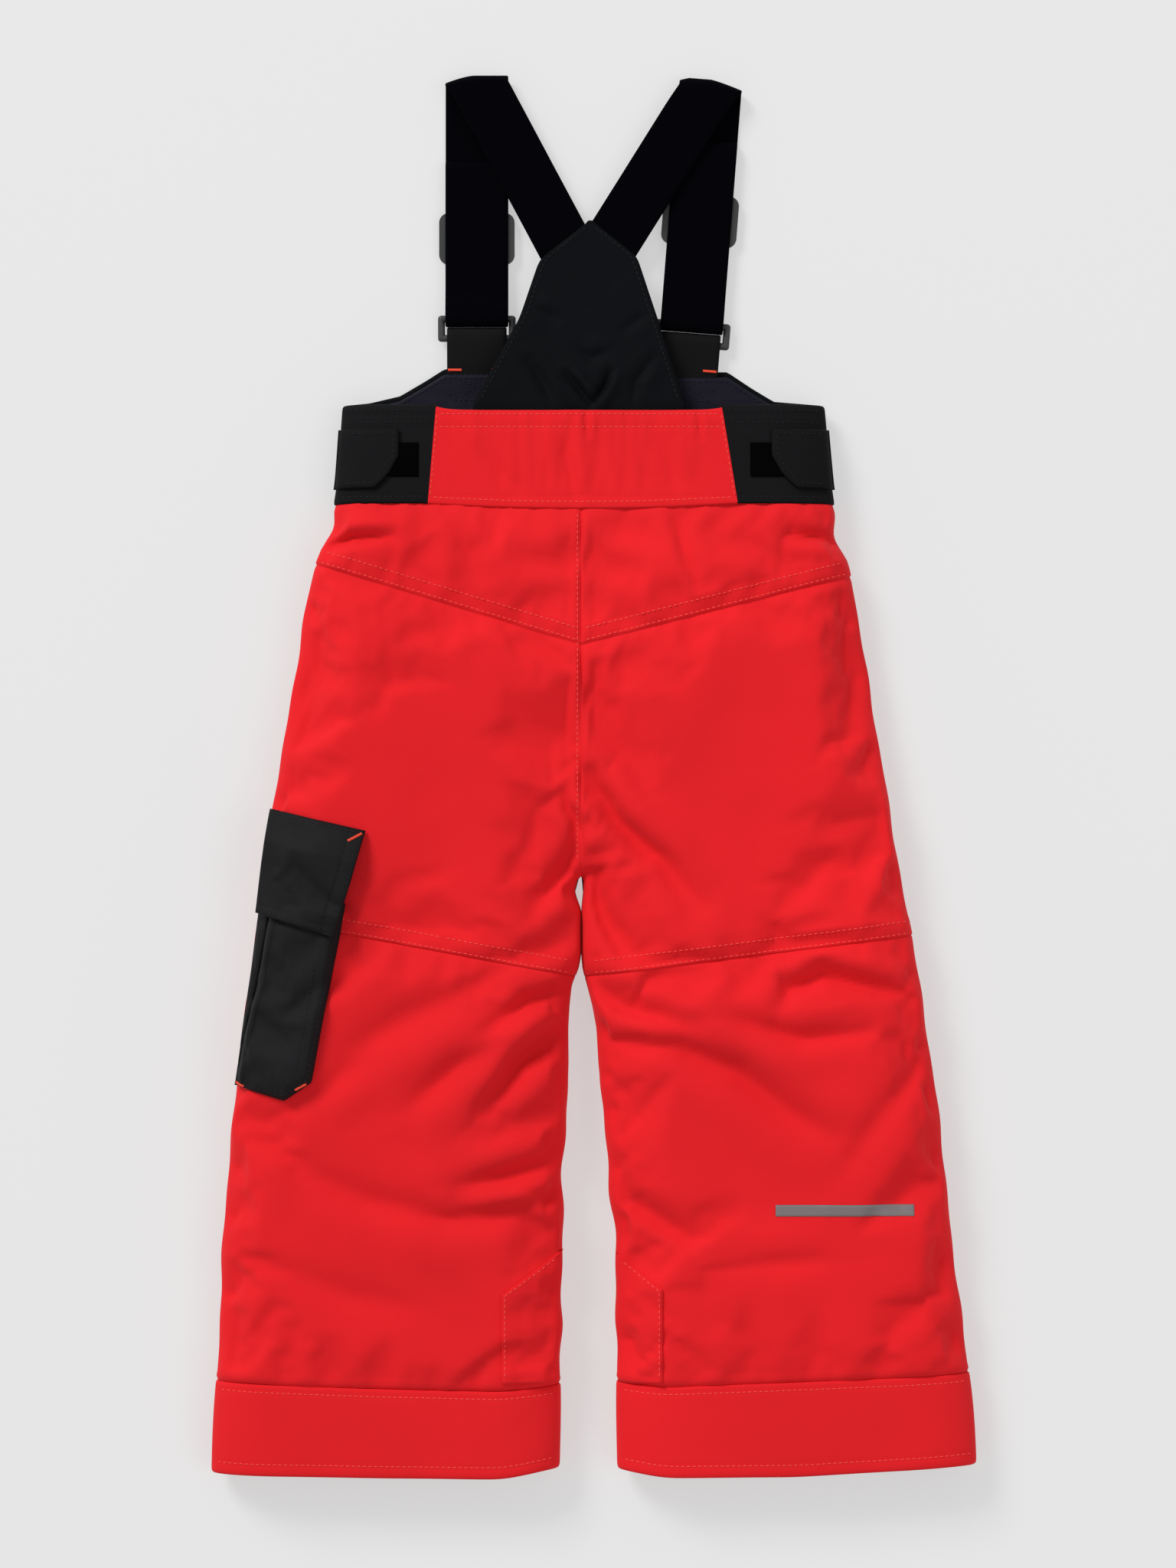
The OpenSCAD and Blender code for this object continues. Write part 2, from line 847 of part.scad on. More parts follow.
waist_tab(-1);  // left_waist_tab
waist_tab(1);  // right_waist_tab
fly_zip_slider();
fly_zip_pull();
pocket_puller(-1);  // left_pocket_puller
pocket_puller(1);  // right_pocket_puller
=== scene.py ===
import math
import bpy
import bmesh
import numpy as np
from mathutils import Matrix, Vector
from mathutils.bvhtree import BVHTree
from mathutils.noise import noise


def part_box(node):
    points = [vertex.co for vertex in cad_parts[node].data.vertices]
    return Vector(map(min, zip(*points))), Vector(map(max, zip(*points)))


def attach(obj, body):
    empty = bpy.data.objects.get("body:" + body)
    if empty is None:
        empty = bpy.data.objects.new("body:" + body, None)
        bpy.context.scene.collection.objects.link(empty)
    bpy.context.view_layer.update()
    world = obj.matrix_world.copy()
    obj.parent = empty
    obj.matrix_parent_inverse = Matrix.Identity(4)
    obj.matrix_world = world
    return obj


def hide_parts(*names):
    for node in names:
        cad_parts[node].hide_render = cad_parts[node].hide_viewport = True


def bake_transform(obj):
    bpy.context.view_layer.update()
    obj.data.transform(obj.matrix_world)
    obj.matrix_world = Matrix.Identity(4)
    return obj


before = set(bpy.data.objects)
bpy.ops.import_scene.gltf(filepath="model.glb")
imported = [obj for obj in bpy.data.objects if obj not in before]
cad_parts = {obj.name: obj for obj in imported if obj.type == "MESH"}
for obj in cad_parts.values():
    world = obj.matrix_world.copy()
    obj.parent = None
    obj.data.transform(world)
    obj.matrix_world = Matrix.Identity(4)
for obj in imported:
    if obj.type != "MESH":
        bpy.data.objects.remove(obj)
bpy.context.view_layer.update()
SIGN = {"left": -1, "right": 1}
# Rays are sent straight down from this height, which is above every piece
ABOVE = 0.2
DOWN = Vector((0, 0, -1))

# ---------------------------------------------------------------- measuring the CAD parts


def edge_ends(names):
    """The two ends of every edge of these CAD nodes."""
    first, second = [], []
    for name in names:
        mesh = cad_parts[name].data
        points = np.empty(len(mesh.vertices) * 3)
        mesh.vertices.foreach_get("co", points)
        points = points.reshape(-1, 3)
        pairs = np.empty(len(mesh.edges) * 2, int)
        mesh.edges.foreach_get("vertices", pairs)
        first.append(points[pairs[0::2]])
        second.append(points[pairs[1::2]])
    return np.vstack(first), np.vstack(second)


def cut(ends, value, axis=1):
    """Points where a plane across an axis cuts the edges."""
    a, b = ends
    span = b[:, axis] - a[:, axis]
    crossing = (a[:, axis] - value) * (b[:, axis] - value) <= 0
    crossing &= np.abs(span) > 1e-7
    t = (value - a[crossing, axis]) / span[crossing]
    return a[crossing] + t[:, None] * (b[crossing] - a[crossing])


def profile(names, low, high, pick, step=0.006, smooth=2.0, axis=1):
    """A smooth function along an axis, made from one number picked out of each cross-section."""
    ends = edge_ends(names)
    places = np.linspace(low + 0.0004, high - 0.0004, max(6, round((high - low) / step)))
    values, kept = [], []
    for place in places:
        points = cut(ends, place, axis)
        if len(points):
            values.append(pick(points))
            kept.append(place)
    values, kept = np.array(values), np.array(kept)
    if smooth:
        reach = np.arange(-6, 7)
        weights = np.exp(-((reach / smooth) ** 2) / 2)
        weights /= weights.sum()
        before = 2 * values[0] - values[6:0:-1]
        after = 2 * values[-1] - values[-2:-8:-1]
        values = np.convolve(np.concatenate([before, values, after]), weights, "valid")
    return lambda at: np.interp(at, kept, values)


def lowest_x(points):
    return points[:, 0].min()


def highest_x(points):
    return points[:, 0].max()


def highest_z(points):
    return points[:, 2].max()


SHELL_LEFT = ["left_yoke", "left_seat", "left_thigh_back", "left_knee_back", "left_shin_back"]
SHELL_LEFT += ["left_front_hip", "left_thigh_front", "left_shin_front", "left_hem_band"]
SHELL_RIGHT = [name.replace("left_", "right_") for name in SHELL_LEFT]
BAND = ["back_waistband", "left_side_band", "right_side_band"]

HEM_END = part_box("left_hem_band")[0].y
HEM_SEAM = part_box("left_hem_band")[1].y
WAIST_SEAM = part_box("left_side_band")[0].y
BAND_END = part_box("left_side_band")[1].y
MID_X = (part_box("left_seat")[1].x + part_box("right_seat")[0].x) / 2
CROTCH = -0.064

left_edge = profile(SHELL_LEFT + BAND, HEM_END, BAND_END, lowest_x)
right_edge = profile(SHELL_RIGHT + BAND, HEM_END, BAND_END, highest_x)
left_inner = profile(SHELL_LEFT, HEM_END, -0.02, highest_x)
right_inner = profile(SHELL_RIGHT, HEM_END, -0.02, lowest_x)
top_height = profile(SHELL_LEFT + SHELL_RIGHT + BAND, HEM_END, BAND_END, highest_z, smooth=3.0)


def waved(edge, seed, size):
    """The same edge with a slight unevenness between the thigh seam and the hem."""

    def wavy(y):
        y = np.asarray(y, float)
        window = np.clip((y - HEM_SEAM - 0.004) / 0.03, 0, 1) * np.clip((0.16 - y) / 0.03, 0, 1)
        turns = np.sin(y / 0.0105 + seed) + 0.8 * np.sin(y / 0.0062 + 2.3 * seed)
        turns += 0.9 * np.sin(y / 0.024 + seed * 5)
        return edge(y) + size * window * turns

    return wavy


def drawn_in(edge, by, place, reach):
    """The same edge pulled in or out round one height, as the waist seam gathers the cloth below it."""
    return lambda y: edge(y) + by * np.exp(-(((np.asarray(y, float) - place) / reach) ** 2))


left_edge = waved(drawn_in(left_edge, 0.0034, 0.153, 0.009), 1.0, 0.00035)
right_edge = waved(drawn_in(right_edge, -0.0040, 0.147, 0.010), 2.0, 0.00035)
# The legs' inner edges just below the crotch, as judged: y, x of the left leg's edge, x of the right's
GAP = [
    (-0.200, -0.0166, 0.0048),
    (-0.179, -0.0158, 0.0026),
    (-0.157, -0.0160, 0.0014),
    (-0.143, -0.0152, -0.0012),
    (-0.130, -0.0138, -0.0046),
    (-0.120, -0.0094, -0.0074),
    (-0.110, -0.0078, -0.0081),
    (-0.084, -0.0078, -0.0081),
    (-0.077, -0.0104, -0.0074),
    (-0.072, -0.0122, -0.0068),
    (-0.066, -0.0100, -0.0072),
    (-0.050, -0.0086, -0.0076),
]
GAP_Y, GAP_LEFT, GAP_RIGHT = zip(*GAP)


def near_crotch(edge, places):
    """The inner edge of a leg, with the shape it has just below the crotch, where the two legs touch."""
    fine = np.linspace(-0.21, -0.05, 161)
    shape = np.interp(fine, GAP_Y, places)
    for _ in range(6):
        shape[1:-1] = (shape[:-2] + 2 * shape[1:-1] + shape[2:]) / 4

    def shaped(y):
        y = np.asarray(y, float)
        share = np.clip((y + 0.205) / 0.02, 0, 1)
        return edge(y) * (1 - share) + np.interp(y, fine, shape) * share

    return shaped


left_inner = near_crotch(waved(left_inner, 3.0, 0.0007), GAP_LEFT)
right_inner = near_crotch(waved(right_inner, 4.0, 0.0007), GAP_RIGHT)


def from_slit(x, y):
    """How far a point is from the gap between the legs."""
    inner = np.where(x < MID_X, left_inner(y), right_inner(y))
    beside = np.maximum(0, np.maximum(float(left_inner(CROTCH)) - x, x - float(right_inner(CROTCH))))
    return np.where(y < CROTCH, np.abs(x - inner), np.hypot(beside, y - CROTCH))


# The rounding of the outer edges: its radius, its power, and how high up the side seam lies
ROUND_R = 0.044
ROUND_P = 2.25
SEAM_SHARE = 0.42


def height(x, y, front, offset=0.0):
    """Height of the back or front sheet over a point of the flat lay; offset is how far inside the shell."""
    to_outer = np.where(x < MID_X, x - left_edge(y), right_edge(y) - x)
    to_edge = np.maximum(0, np.minimum(to_outer, from_slit(x, y)) - offset)
    full = top_height(y)
    middle = full * SEAM_SHARE
    if front:
        rise = np.clip(to_edge / (ROUND_R * 0.55), 0, 1)
        round_off = (1 - (1 - rise) ** ROUND_P) ** (1 / ROUND_P)
        return middle + (offset - middle) * round_off
    rise = np.clip(to_edge / ROUND_R, 0, 1)
    round_off = (1 - (1 - rise) ** ROUND_P) ** (1 / ROUND_P)
    return middle + (full - offset - middle) * round_off


# ---------------------------------------------------------------- meshes


def grid_mesh(name, grids, weld=0.00004):
    """One mesh from grids of points; each grid is (points[rows, columns, 3], turned over or not)."""
    mesh = bpy.data.meshes.new(name)
    points, faces = [], []
    for grid, turned in grids:
        rows, columns = grid.shape[:2]
        start = sum(len(p) for p in points)
        index = start + np.arange(rows * columns).reshape(rows, columns)
        quads = [index[:-1, :-1], index[:-1, 1:], index[1:, 1:], index[1:, :-1]]
        quads = np.stack(quads, -1).reshape(-1, 4)
        faces.append(quads[:, ::-1] if turned else quads)
        points.append(grid.reshape(-1, 3))
    mesh.from_pydata(np.vstack(points).tolist(), [], np.vstack(faces).tolist())
    solid = bmesh.new()
    solid.from_mesh(mesh)
    if weld:
        bmesh.ops.remove_doubles(solid, verts=solid.verts, dist=weld)
    bmesh.ops.dissolve_degenerate(solid, edges=solid.edges, dist=1e-6)
    solid.to_mesh(mesh)
    solid.free()
    mesh.shade_smooth()
    made = bpy.data.objects.new(name, mesh)
    bpy.context.scene.collection.objects.link(made)
    return made


def vertices_of(made):
    points = np.empty(len(made.data.vertices) * 3)
    made.data.vertices.foreach_get("co", points)
    return points.reshape(-1, 3)


def set_vertices(made, points):
    made.data.vertices.foreach_set("co", np.asarray(points, float).ravel())
    made.data.update()


def tree_of(*made):
    """A search tree over these objects, for finding points on their surfaces."""
    points, faces = [], []
    for one in made:
        start = len(points)
        points += [v.co.copy() for v in one.data.vertices]
        faces += [[start + i for i in f.vertices] for f in one.data.polygons]
    return BVHTree.FromPolygons(points, faces)


def wobble(points, size, seed=0.0):
    """Smooth noise between about -1 and 1 at each point."""
    shift = Vector((seed * 3.7, seed * 1.9, seed * 5.3))
    flat = points.reshape(-1, 3)
    found = [noise(Vector(p) / size + shift) for p in flat.tolist()]
    return np.array(found).reshape(points.shape[:-1])


# ---------------------------------------------------------------- materials


def fabric(name, colour, rough, grain=1400, bump=0.35, vary=0.06, sheen=0.0, ribs=0.0, spec=0.3):
    """Woven cloth: fine grain, soft colour changes, and ribs across where asked for."""
    material = bpy.data.materials.new(name)
    material.use_nodes = True
    nodes, links = material.node_tree.nodes, material.node_tree.links
    shader = nodes["Principled BSDF"]
    shader.inputs["Roughness"].default_value = rough
    shader.inputs["Specular IOR Level"].default_value = spec
    shader.inputs["Sheen Weight"].default_value = sheen
    shader.inputs["Sheen Roughness"].default_value = 0.5
    place = nodes.new("ShaderNodeTexCoord")
    clouds = nodes.new("ShaderNodeTexNoise")
    clouds.inputs["Scale"].default_value = 9
    clouds.inputs["Detail"].default_value = 4
    links.new(place.outputs["Object"], clouds.inputs["Vector"])
    ramp = nodes.new("ShaderNodeValToRGB")
    ramp.color_ramp.elements[0].position = 0.3
    ramp.color_ramp.elements[1].position = 0.7
    ramp.color_ramp.elements[0].color = [c * (1 - vary) for c in colour] + [1]
    ramp.color_ramp.elements[1].color = [min(1, c * (1 + vary)) for c in colour] + [1]
    links.new(clouds.outputs["Fac"], ramp.inputs["Fac"])
    links.new(ramp.outputs["Color"], shader.inputs["Base Color"])
    fine = nodes.new("ShaderNodeTexNoise")
    fine.inputs["Scale"].default_value = grain
    fine.inputs["Detail"].default_value = 3
    links.new(place.outputs["Object"], fine.inputs["Vector"])
    relief = nodes.new("ShaderNodeBump")
    relief.inputs["Strength"].default_value = bump
    relief.inputs["Distance"].default_value = 0.0004
    links.new(fine.outputs["Fac"], relief.inputs["Height"])
    last = relief
    if ribs:
        wave = nodes.new("ShaderNodeTexWave")
        wave.bands_direction = "Y"
        wave.inputs["Scale"].default_value = ribs
        wave.inputs["Distortion"].default_value = 0.4
        links.new(place.outputs["Object"], wave.inputs["Vector"])
        last = nodes.new("ShaderNodeBump")
        last.inputs["Strength"].default_value = 0.42
        last.inputs["Distance"].default_value = 0.0004
        links.new(wave.outputs["Fac"], last.inputs["Height"])
        links.new(relief.outputs["Normal"], last.inputs["Normal"])
    links.new(last.outputs["Normal"], shader.inputs["Normal"])
    return material


def hard(name, colour, rough, metal=0.0):
    """Moulded plastic or painted metal with faint handling marks."""
    material = bpy.data.materials.new(name)
    material.use_nodes = True
    nodes, links = material.node_tree.nodes, material.node_tree.links
    shader = nodes["Principled BSDF"]
    shader.inputs["Base Color"].default_value = list(colour) + [1]
    shader.inputs["Metallic"].default_value = metal
    place = nodes.new("ShaderNodeTexCoord")
    marks = nodes.new("ShaderNodeTexNoise")
    marks.inputs["Scale"].default_value = 300
    marks.inputs["Detail"].default_value = 5
    links.new(place.outputs["Object"], marks.inputs["Vector"])
    spread = nodes.new("ShaderNodeMapRange")
    spread.inputs["To Min"].default_value = rough - 0.08
    spread.inputs["To Max"].default_value = rough + 0.12
    links.new(marks.outputs["Fac"], spread.inputs["Value"])
    links.new(spread.outputs["Result"], shader.inputs["Roughness"])
    relief = nodes.new("ShaderNodeBump")
    relief.inputs["Strength"].default_value = 0.12
    relief.inputs["Distance"].default_value = 0.0002
    links.new(marks.outputs["Fac"], relief.inputs["Height"])
    links.new(relief.outputs["Normal"], shader.inputs["Normal"])
    return material


RED = fabric("red_nylon", (0.74, 0.0125, 0.0175), 0.85, vary=0.05, sheen=0.03, spec=0.12)
RED_THREAD = fabric("red_thread", (0.90, 0.085, 0.075), 0.7, grain=5000, spec=0.1)
BARTACK = fabric("orange_red_thread", (0.86, 0.08, 0.035), 0.6, grain=5000)
BLACK = fabric("black_nylon", (0.0024, 0.0030, 0.0042), 0.7, vary=0.2, spec=0.06)
SIDE_BLACK = fabric("side_black_nylon", (0.0062, 0.0060, 0.0068), 0.75, vary=0.2, spec=0.07)
POCKET_BLACK = fabric("pocket_black_nylon", (0.0098, 0.0098, 0.0108), 0.75, vary=0.2, spec=0.12)
BLACK_THREAD = fabric("black_thread", (0.004, 0.004, 0.006), 0.6, grain=5000)
NAVY = fabric("navy_lining", (0.0072, 0.0062, 0.0150), 0.6, vary=0.2, grain=900, spec=0.12)
WEBBING = fabric("webbing", (0.0009, 0.0009, 0.0022), 0.9, grain=1800, bump=0.6, ribs=1200, spec=0.03)
LOOPS = fabric("loop_fastener", (0.0010, 0.0010, 0.0012), 1.0, grain=700, bump=1.0, vary=0.5, spec=0.02)
WHITE = fabric("white_elastic", (0.75, 0.75, 0.73), 0.8, ribs=500)
PRINT = fabric("reflective_print", (0.17, 0.145, 0.15), 0.45, grain=2500, spec=0.5)
PLASTIC = hard("grey_plastic", (0.030, 0.031, 0.031), 0.42)
METAL = hard("dark_metal", (0.20, 0.20, 0.21), 0.38, 0.9)


def dress(made, material):
    """Gives a piece its material."""
    made.data.materials.clear()
    made.data.materials.append(material)
    return made


# ---------------------------------------------------------------- folds in the shell

# Each fold is a line across the flat lay, how deep it is and how wide
FOLDS = [
    ([(-0.0130, -0.130), (-0.0440, -0.141), (-0.0640, -0.156)], 0.0060, 0.010),
    ([(-0.0160, -0.150), (-0.0440, -0.177), (-0.0640, -0.203)], 0.0075, 0.013),
    ([(-0.0700, -0.130), (-0.1160, -0.150), (-0.1560, -0.174)], 0.0030, 0.016),
    ([(-0.0590, -0.165), (-0.0860, -0.180), (-0.1110, -0.203)], 0.0040, 0.012),
    ([(-0.1440, -0.176), (-0.1740, -0.199)], 0.0024, 0.012),
    ([(-0.0200, -0.237), (-0.0440, -0.243), (-0.0820, -0.252)], 0.0060, 0.010),
    ([(-0.0190, -0.255), (-0.0290, -0.261), (-0.0370, -0.257)], 0.0040, 0.007),
    ([(-0.0430, -0.267), (-0.0920, -0.272), (-0.1400, -0.261), (-0.1780, -0.242)], 0.0034, 0.016),
    ([(-0.0050, -0.124), (0.0190, -0.141), (0.0640, -0.154)], 0.0065, 0.011),
    ([(0.0040, -0.162), (0.0520, -0.168), (0.0880, -0.183), (0.1180, -0.207), (0.1440, -0.223)],
     0.0060, 0.014),
    ([(0.1140, -0.143), (0.1210, -0.131), (0.1420, -0.124), (0.1860, -0.133)], 0.0052, 0.009),
    ([(0.0800, -0.150), (0.1270, -0.162), (0.1660, -0.159)], 0.0040, 0.010),
    ([(0.1980, -0.180), (0.1690, -0.219), (0.1530, -0.245)], 0.0030, 0.014),
    ([(0.0100, -0.243), (0.0220, -0.261), (0.0560, -0.284)], 0.0034, 0.012),
    ([(0.0900, -0.303), (0.1440, -0.299)], 0.0018, 0.012),
    ([(-0.2000, -0.300), (-0.1500, -0.322), (-0.1050, -0.330)], 0.0020, 0.016),
    ([(-0.0200, -0.013), (-0.0140, -0.024), (-0.0080, -0.036)], 0.0034, 0.006),
    ([(-0.0080, -0.030), (-0.0170, -0.056), (-0.0380, -0.084)], 0.0046, 0.009),
    ([(-0.0030, -0.002), (0.0150, -0.030), (0.0400, -0.053), (0.0620, -0.080)], 0.0062, 0.012),
    ([(-0.0030, -0.050), (0.0060, -0.082), (0.0180, -0.110)], 0.0050, 0.009),
    ([(-0.1700, 0.138), (-0.1500, 0.146), (-0.1240, 0.146)], 0.0050, 0.006),
    ([(0.1640, 0.134), (0.1440, 0.146), (0.1180, 0.148)], 0.0044, 0.006),
    ([(-0.0900, 0.158), (-0.0700, 0.120)], 0.0014, 0.009),
    ([(0.0500, 0.160), (0.0620, 0.118)], 0.0014, 0.009),
]


def fold_depth(x, y, folds):
    """How far these folds move the cloth up or down."""
    moved = np.zeros_like(x)
    for line, depth, width in folds:
        line = np.array(line)
        lengths = np.hypot(*(line[1:] - line[:-1]).T)
        whole = lengths.sum()
        nearest = np.full(x.shape, 9.0)
        signed = np.zeros(x.shape)
        along = np.zeros(x.shape)
        done = 0.0
        for a, b, length in zip(line[:-1], line[1:], lengths):
            way = (b - a) / length
            t = np.clip((x - a[0]) * way[0] + (y - a[1]) * way[1], 0, length)
            off_x, off_y = x - a[0] - t * way[0], y - a[1] - t * way[1]
            far = np.hypot(off_x, off_y)
            side = np.sign(way[0] * off_y - way[1] * off_x)
            closer = far < nearest
            nearest = np.where(closer, far, nearest)
            signed = np.where(closer, far * side, signed)
            along = np.where(closer, (done + t) / whole, along)
            done += length
        fade = np.clip(np.sin(np.pi * (0.06 + 0.88 * along)), 0, 1) ** 0.7
        valley = np.exp(-((signed / (0.55 * width)) ** 2))
        crest = np.exp(-(((signed - 1.35 * width) / (0.9 * width)) ** 2))
        crest += 0.5 * np.exp(-(((signed + 1.5 * width) / (1.0 * width)) ** 2))
        moved += 1.2 * depth * fade * (0.75 * crest - valley)
    return moved


# ---------------------------------------------------------------- the shell's panels


def columns_for(count, start_edge, stop_edge):
    """Places from 0 to 1, closer together at an end that is a rounded edge."""
    t = np.linspace(0, 1, count)
    if start_edge and stop_edge:
        return (1 - np.cos(np.pi * t)) / 2
    if start_edge:
        return 1 - np.cos(np.pi / 2 * t)
    if stop_edge:
        return np.sin(np.pi / 2 * t)
    return t


def panel_points(rows, shares, edges, front, rounded=(True, True)):
    """Points of one sheet between two edges. Each row is (y as a function of x, how far inside the shell)."""
    first, second = edges
    grid = np.zeros((len(rows), len(shares), 3))
    for number, (line, inside) in enumerate(rows):
        y = line(MID_X + 0 * shares)
        for _ in range(5):
            x = first(y) + (second(y) - first(y)) * shares
            y = line(x) + 0 * x
        z = height(x, y, front)
        full = top_height(y)
        level = full * SEAM_SHARE
        z = level + (z - level) * (1 - inside / (0.5 * full))
        x = x + inside * (rounded[0] * (1 - shares) - rounded[1] * shares)
        grid[number] = np.stack([x, y, np.maximum(z, 0.0002)], -1)
    return grid


def line_between(a, b):
    """y as a function of x, through two points."""
    slope = (b[1] - a[1]) / (b[0] - a[0])
    return lambda x: a[1] + (x - a[0]) * slope


def seam_line(node, upper, low_x, high_x):
    """The straight seam along a CAD panel's upper or lower edge, y as a function of x."""
    ends = edge_ends([node])
    found = []
    for x in (low_x, high_x):
        points = cut(ends, x, axis=0)
        high = points[:, 2] > 0.6 * points[:, 2].max()
        y = points[high][:, 1]
        found.append((x, y.max() if upper else y.min()))
    return line_between(*found)


def meeting(left, right, left_x, right_x):
    """The two seams again, adjusted to meet at the middle."""
    centre = (left(MID_X) + right(MID_X)) / 2
    middle = (MID_X, centre)
    return line_between((left_x, left(left_x)), middle), line_between(middle, (right_x, right(right_x)))


left_thigh_seam, right_thigh_seam = meeting(
    seam_line("left_knee_back", True, -0.17, -0.05),
    seam_line("right_knee_back", True, 0.03, 0.16),
    -0.2, 0.18,
)
left_yoke_seam, right_yoke_seam = meeting(
    seam_line("left_seat", True, -0.14, -0.03),
    seam_line("right_seat", True, 0.02, 0.13),
    -0.16, 0.14,
)


def straight(y):
    return lambda x: y + 0 * x


def between(low, high, share):
    return lambda x: low(x) + (high(x) - low(x)) * share


def left_leg_inner(y):
    return np.where(y < CROTCH, left_inner(y), MID_X)


def right_leg_inner(y):
    return np.where(y < CROTCH, right_inner(y), MID_X)


def steps(low, high, spacing):
    """Evenly spread places between two, both left out."""
    count = max(1, round(abs(high - low) / spacing))
    return [low + (high - low) * i / count for i in range(1, count)]


FOLD_IN = [(0.0045, 0.0030), (0.0012, 0.0016), (0.0, 0.0006), (-0.0012, 0.0001), (-0.0035, 0.0)]
LAPPED = [(0.0135, 0.0), (0.0115, -0.0001), (0.0100, -0.0003), (0.0050, -0.0003), (0.0012, -0.0004)]
LAPPED += [(0.0001, -0.0002)]


def shifted(line, by):
    return lambda x: line(x) + by


def rows_along(line, pairs):
    """Rows that follow a line; each pair is (how far above it, how far inside the shell)."""
    return [(shifted(line, by), inside) for by, inside in pairs]


def rows_between(first, second, inside, spacing):
    """Evenly spread rows between two lines, both left out."""
    return [(between(first, second, t), inside) for t in steps(0, 1, spacing)]


def waist_low(x):
    """The waist seam, which sags a little at the middle of the back."""
    return WAIST_SEAM - 0.0032 * np.clip(1 - ((x - MID_X) / 0.098) ** 2, 0, 1) * (np.abs(x - MID_X) < 0.098)


HEM_X = [-0.232, -0.146, -0.056, -0.024, 0.015, 0.043, 0.124, 0.230]
HEM_HIGH = [-0.0009, -0.0040, -0.0062, -0.0033, -0.0009, -0.0033, -0.0003, 0.0042]
HEM_LOW = [0.0028, 0.0013, 0.0002, 0.0060, 0.0053, 0.0011, 0.0018, 0.0080]


def uneven(base, offsets):
    """A level line that wanders up and down, as sewn cloth does."""
    fine = np.linspace(-0.25, 0.25, 201)
    values = np.interp(fine, HEM_X, offsets)
    for _ in range(12):
        values[1:-1] = (values[:-2] + 2 * values[1:-1] + values[2:]) / 4
    return lambda x: base + np.interp(x, fine, values)


hem_high = uneven(HEM_SEAM, HEM_HIGH)
hem_low = uneven(HEM_END, HEM_LOW)


def hip_rows(yoke, thigh):
    """Rows of the hips' shell, from the waist seam past the yoke seam to the thigh seam."""
    rows = rows_along(waist_low, [(0.006, 0.0022), (0.001, 0.0012), (-0.003, 0.0004)])
    rows += rows_between(shifted(waist_low, -0.003), shifted(yoke, 0.0125), 0.0, 0.08)
    rows += rows_along(yoke, LAPPED)
    rows += rows_along(yoke, [(-0.0005, 0.0006), (-0.0018, 0.0003), (-0.0040, 0.0)])
    rows += rows_between(shifted(yoke, -0.004), shifted(thigh, 0.0125), 0.0, 0.0145)
    rows += rows_along(thigh, LAPPED)
    rows += rows_along(thigh, [(-0.0002, 0.0008), (0.0010, 0.0022)])
    return rows


def leg_rows(thigh):
    """Rows of a lower leg's shell, from the thigh seam to the hem seam."""
    rows = rows_along(thigh, FOLD_IN)
    rows += rows_between(shifted(thigh, -0.0035), shifted(hem_high, 0.003), 0.0, 0.0108)
    rows += rows_along(hem_high, [(0.003, -0.0003), (0.0012, 0.0004), (-0.0004, 0.0019)])
    rows += rows_along(hem_high, [(-0.002, 0.0024), (-0.006, 0.0030)])
    return rows


EDGED = columns_for(84, True, True)
left_hip = (left_edge, left_leg_inner)
right_hip = (right_leg_inner, right_edge)
left_leg = (left_edge, left_inner)
right_leg = (right_inner, right_edge)


def finish_shell(grid, front):
    """Adds the folds and the soft unevenness of worn cloth to the back sheet."""
    x, y, z = grid[..., 0], grid[..., 1], grid[..., 2]
    edge = np.minimum(np.where(x < MID_X, x - left_edge(y), right_edge(y) - x), from_slit(x, y))
    free = np.clip(edge / 0.012, 0, 1)
    if not front:
        z = z + fold_depth(x, y, FOLDS) * (0.25 + 0.75 * free)
        z = z + 0.0011 * wobble(grid, 0.055, 1) * free + 0.0005 * wobble(grid, 0.022, 2) * free
        z = z - 0.0007 * np.exp(-(((x - MID_X) / 0.0008) ** 2)) * (y > CROTCH)
    grid[..., 2] = z
    return grid


# ---------------------------------------------------------------- cloth simulation of the back panels


def coarse_rows(lines, spacing):
    """Evenly spaced rows between the seams of a panel, and which rows lie on a seam."""
    rows, sewn = [], []
    for high, low in zip(lines[:-1], lines[1:]):
        reach = abs(float(high(MID_X)) - float(low(MID_X)))
        count = max(4, round(reach / spacing))
        for i in range(count):
            rows.append((between(high, low, i / count), 0.0))
            sewn.append(i == 0)
    rows.append((lines[-1], 0.0))
    sewn.append(True)
    return rows, np.array(sewn)


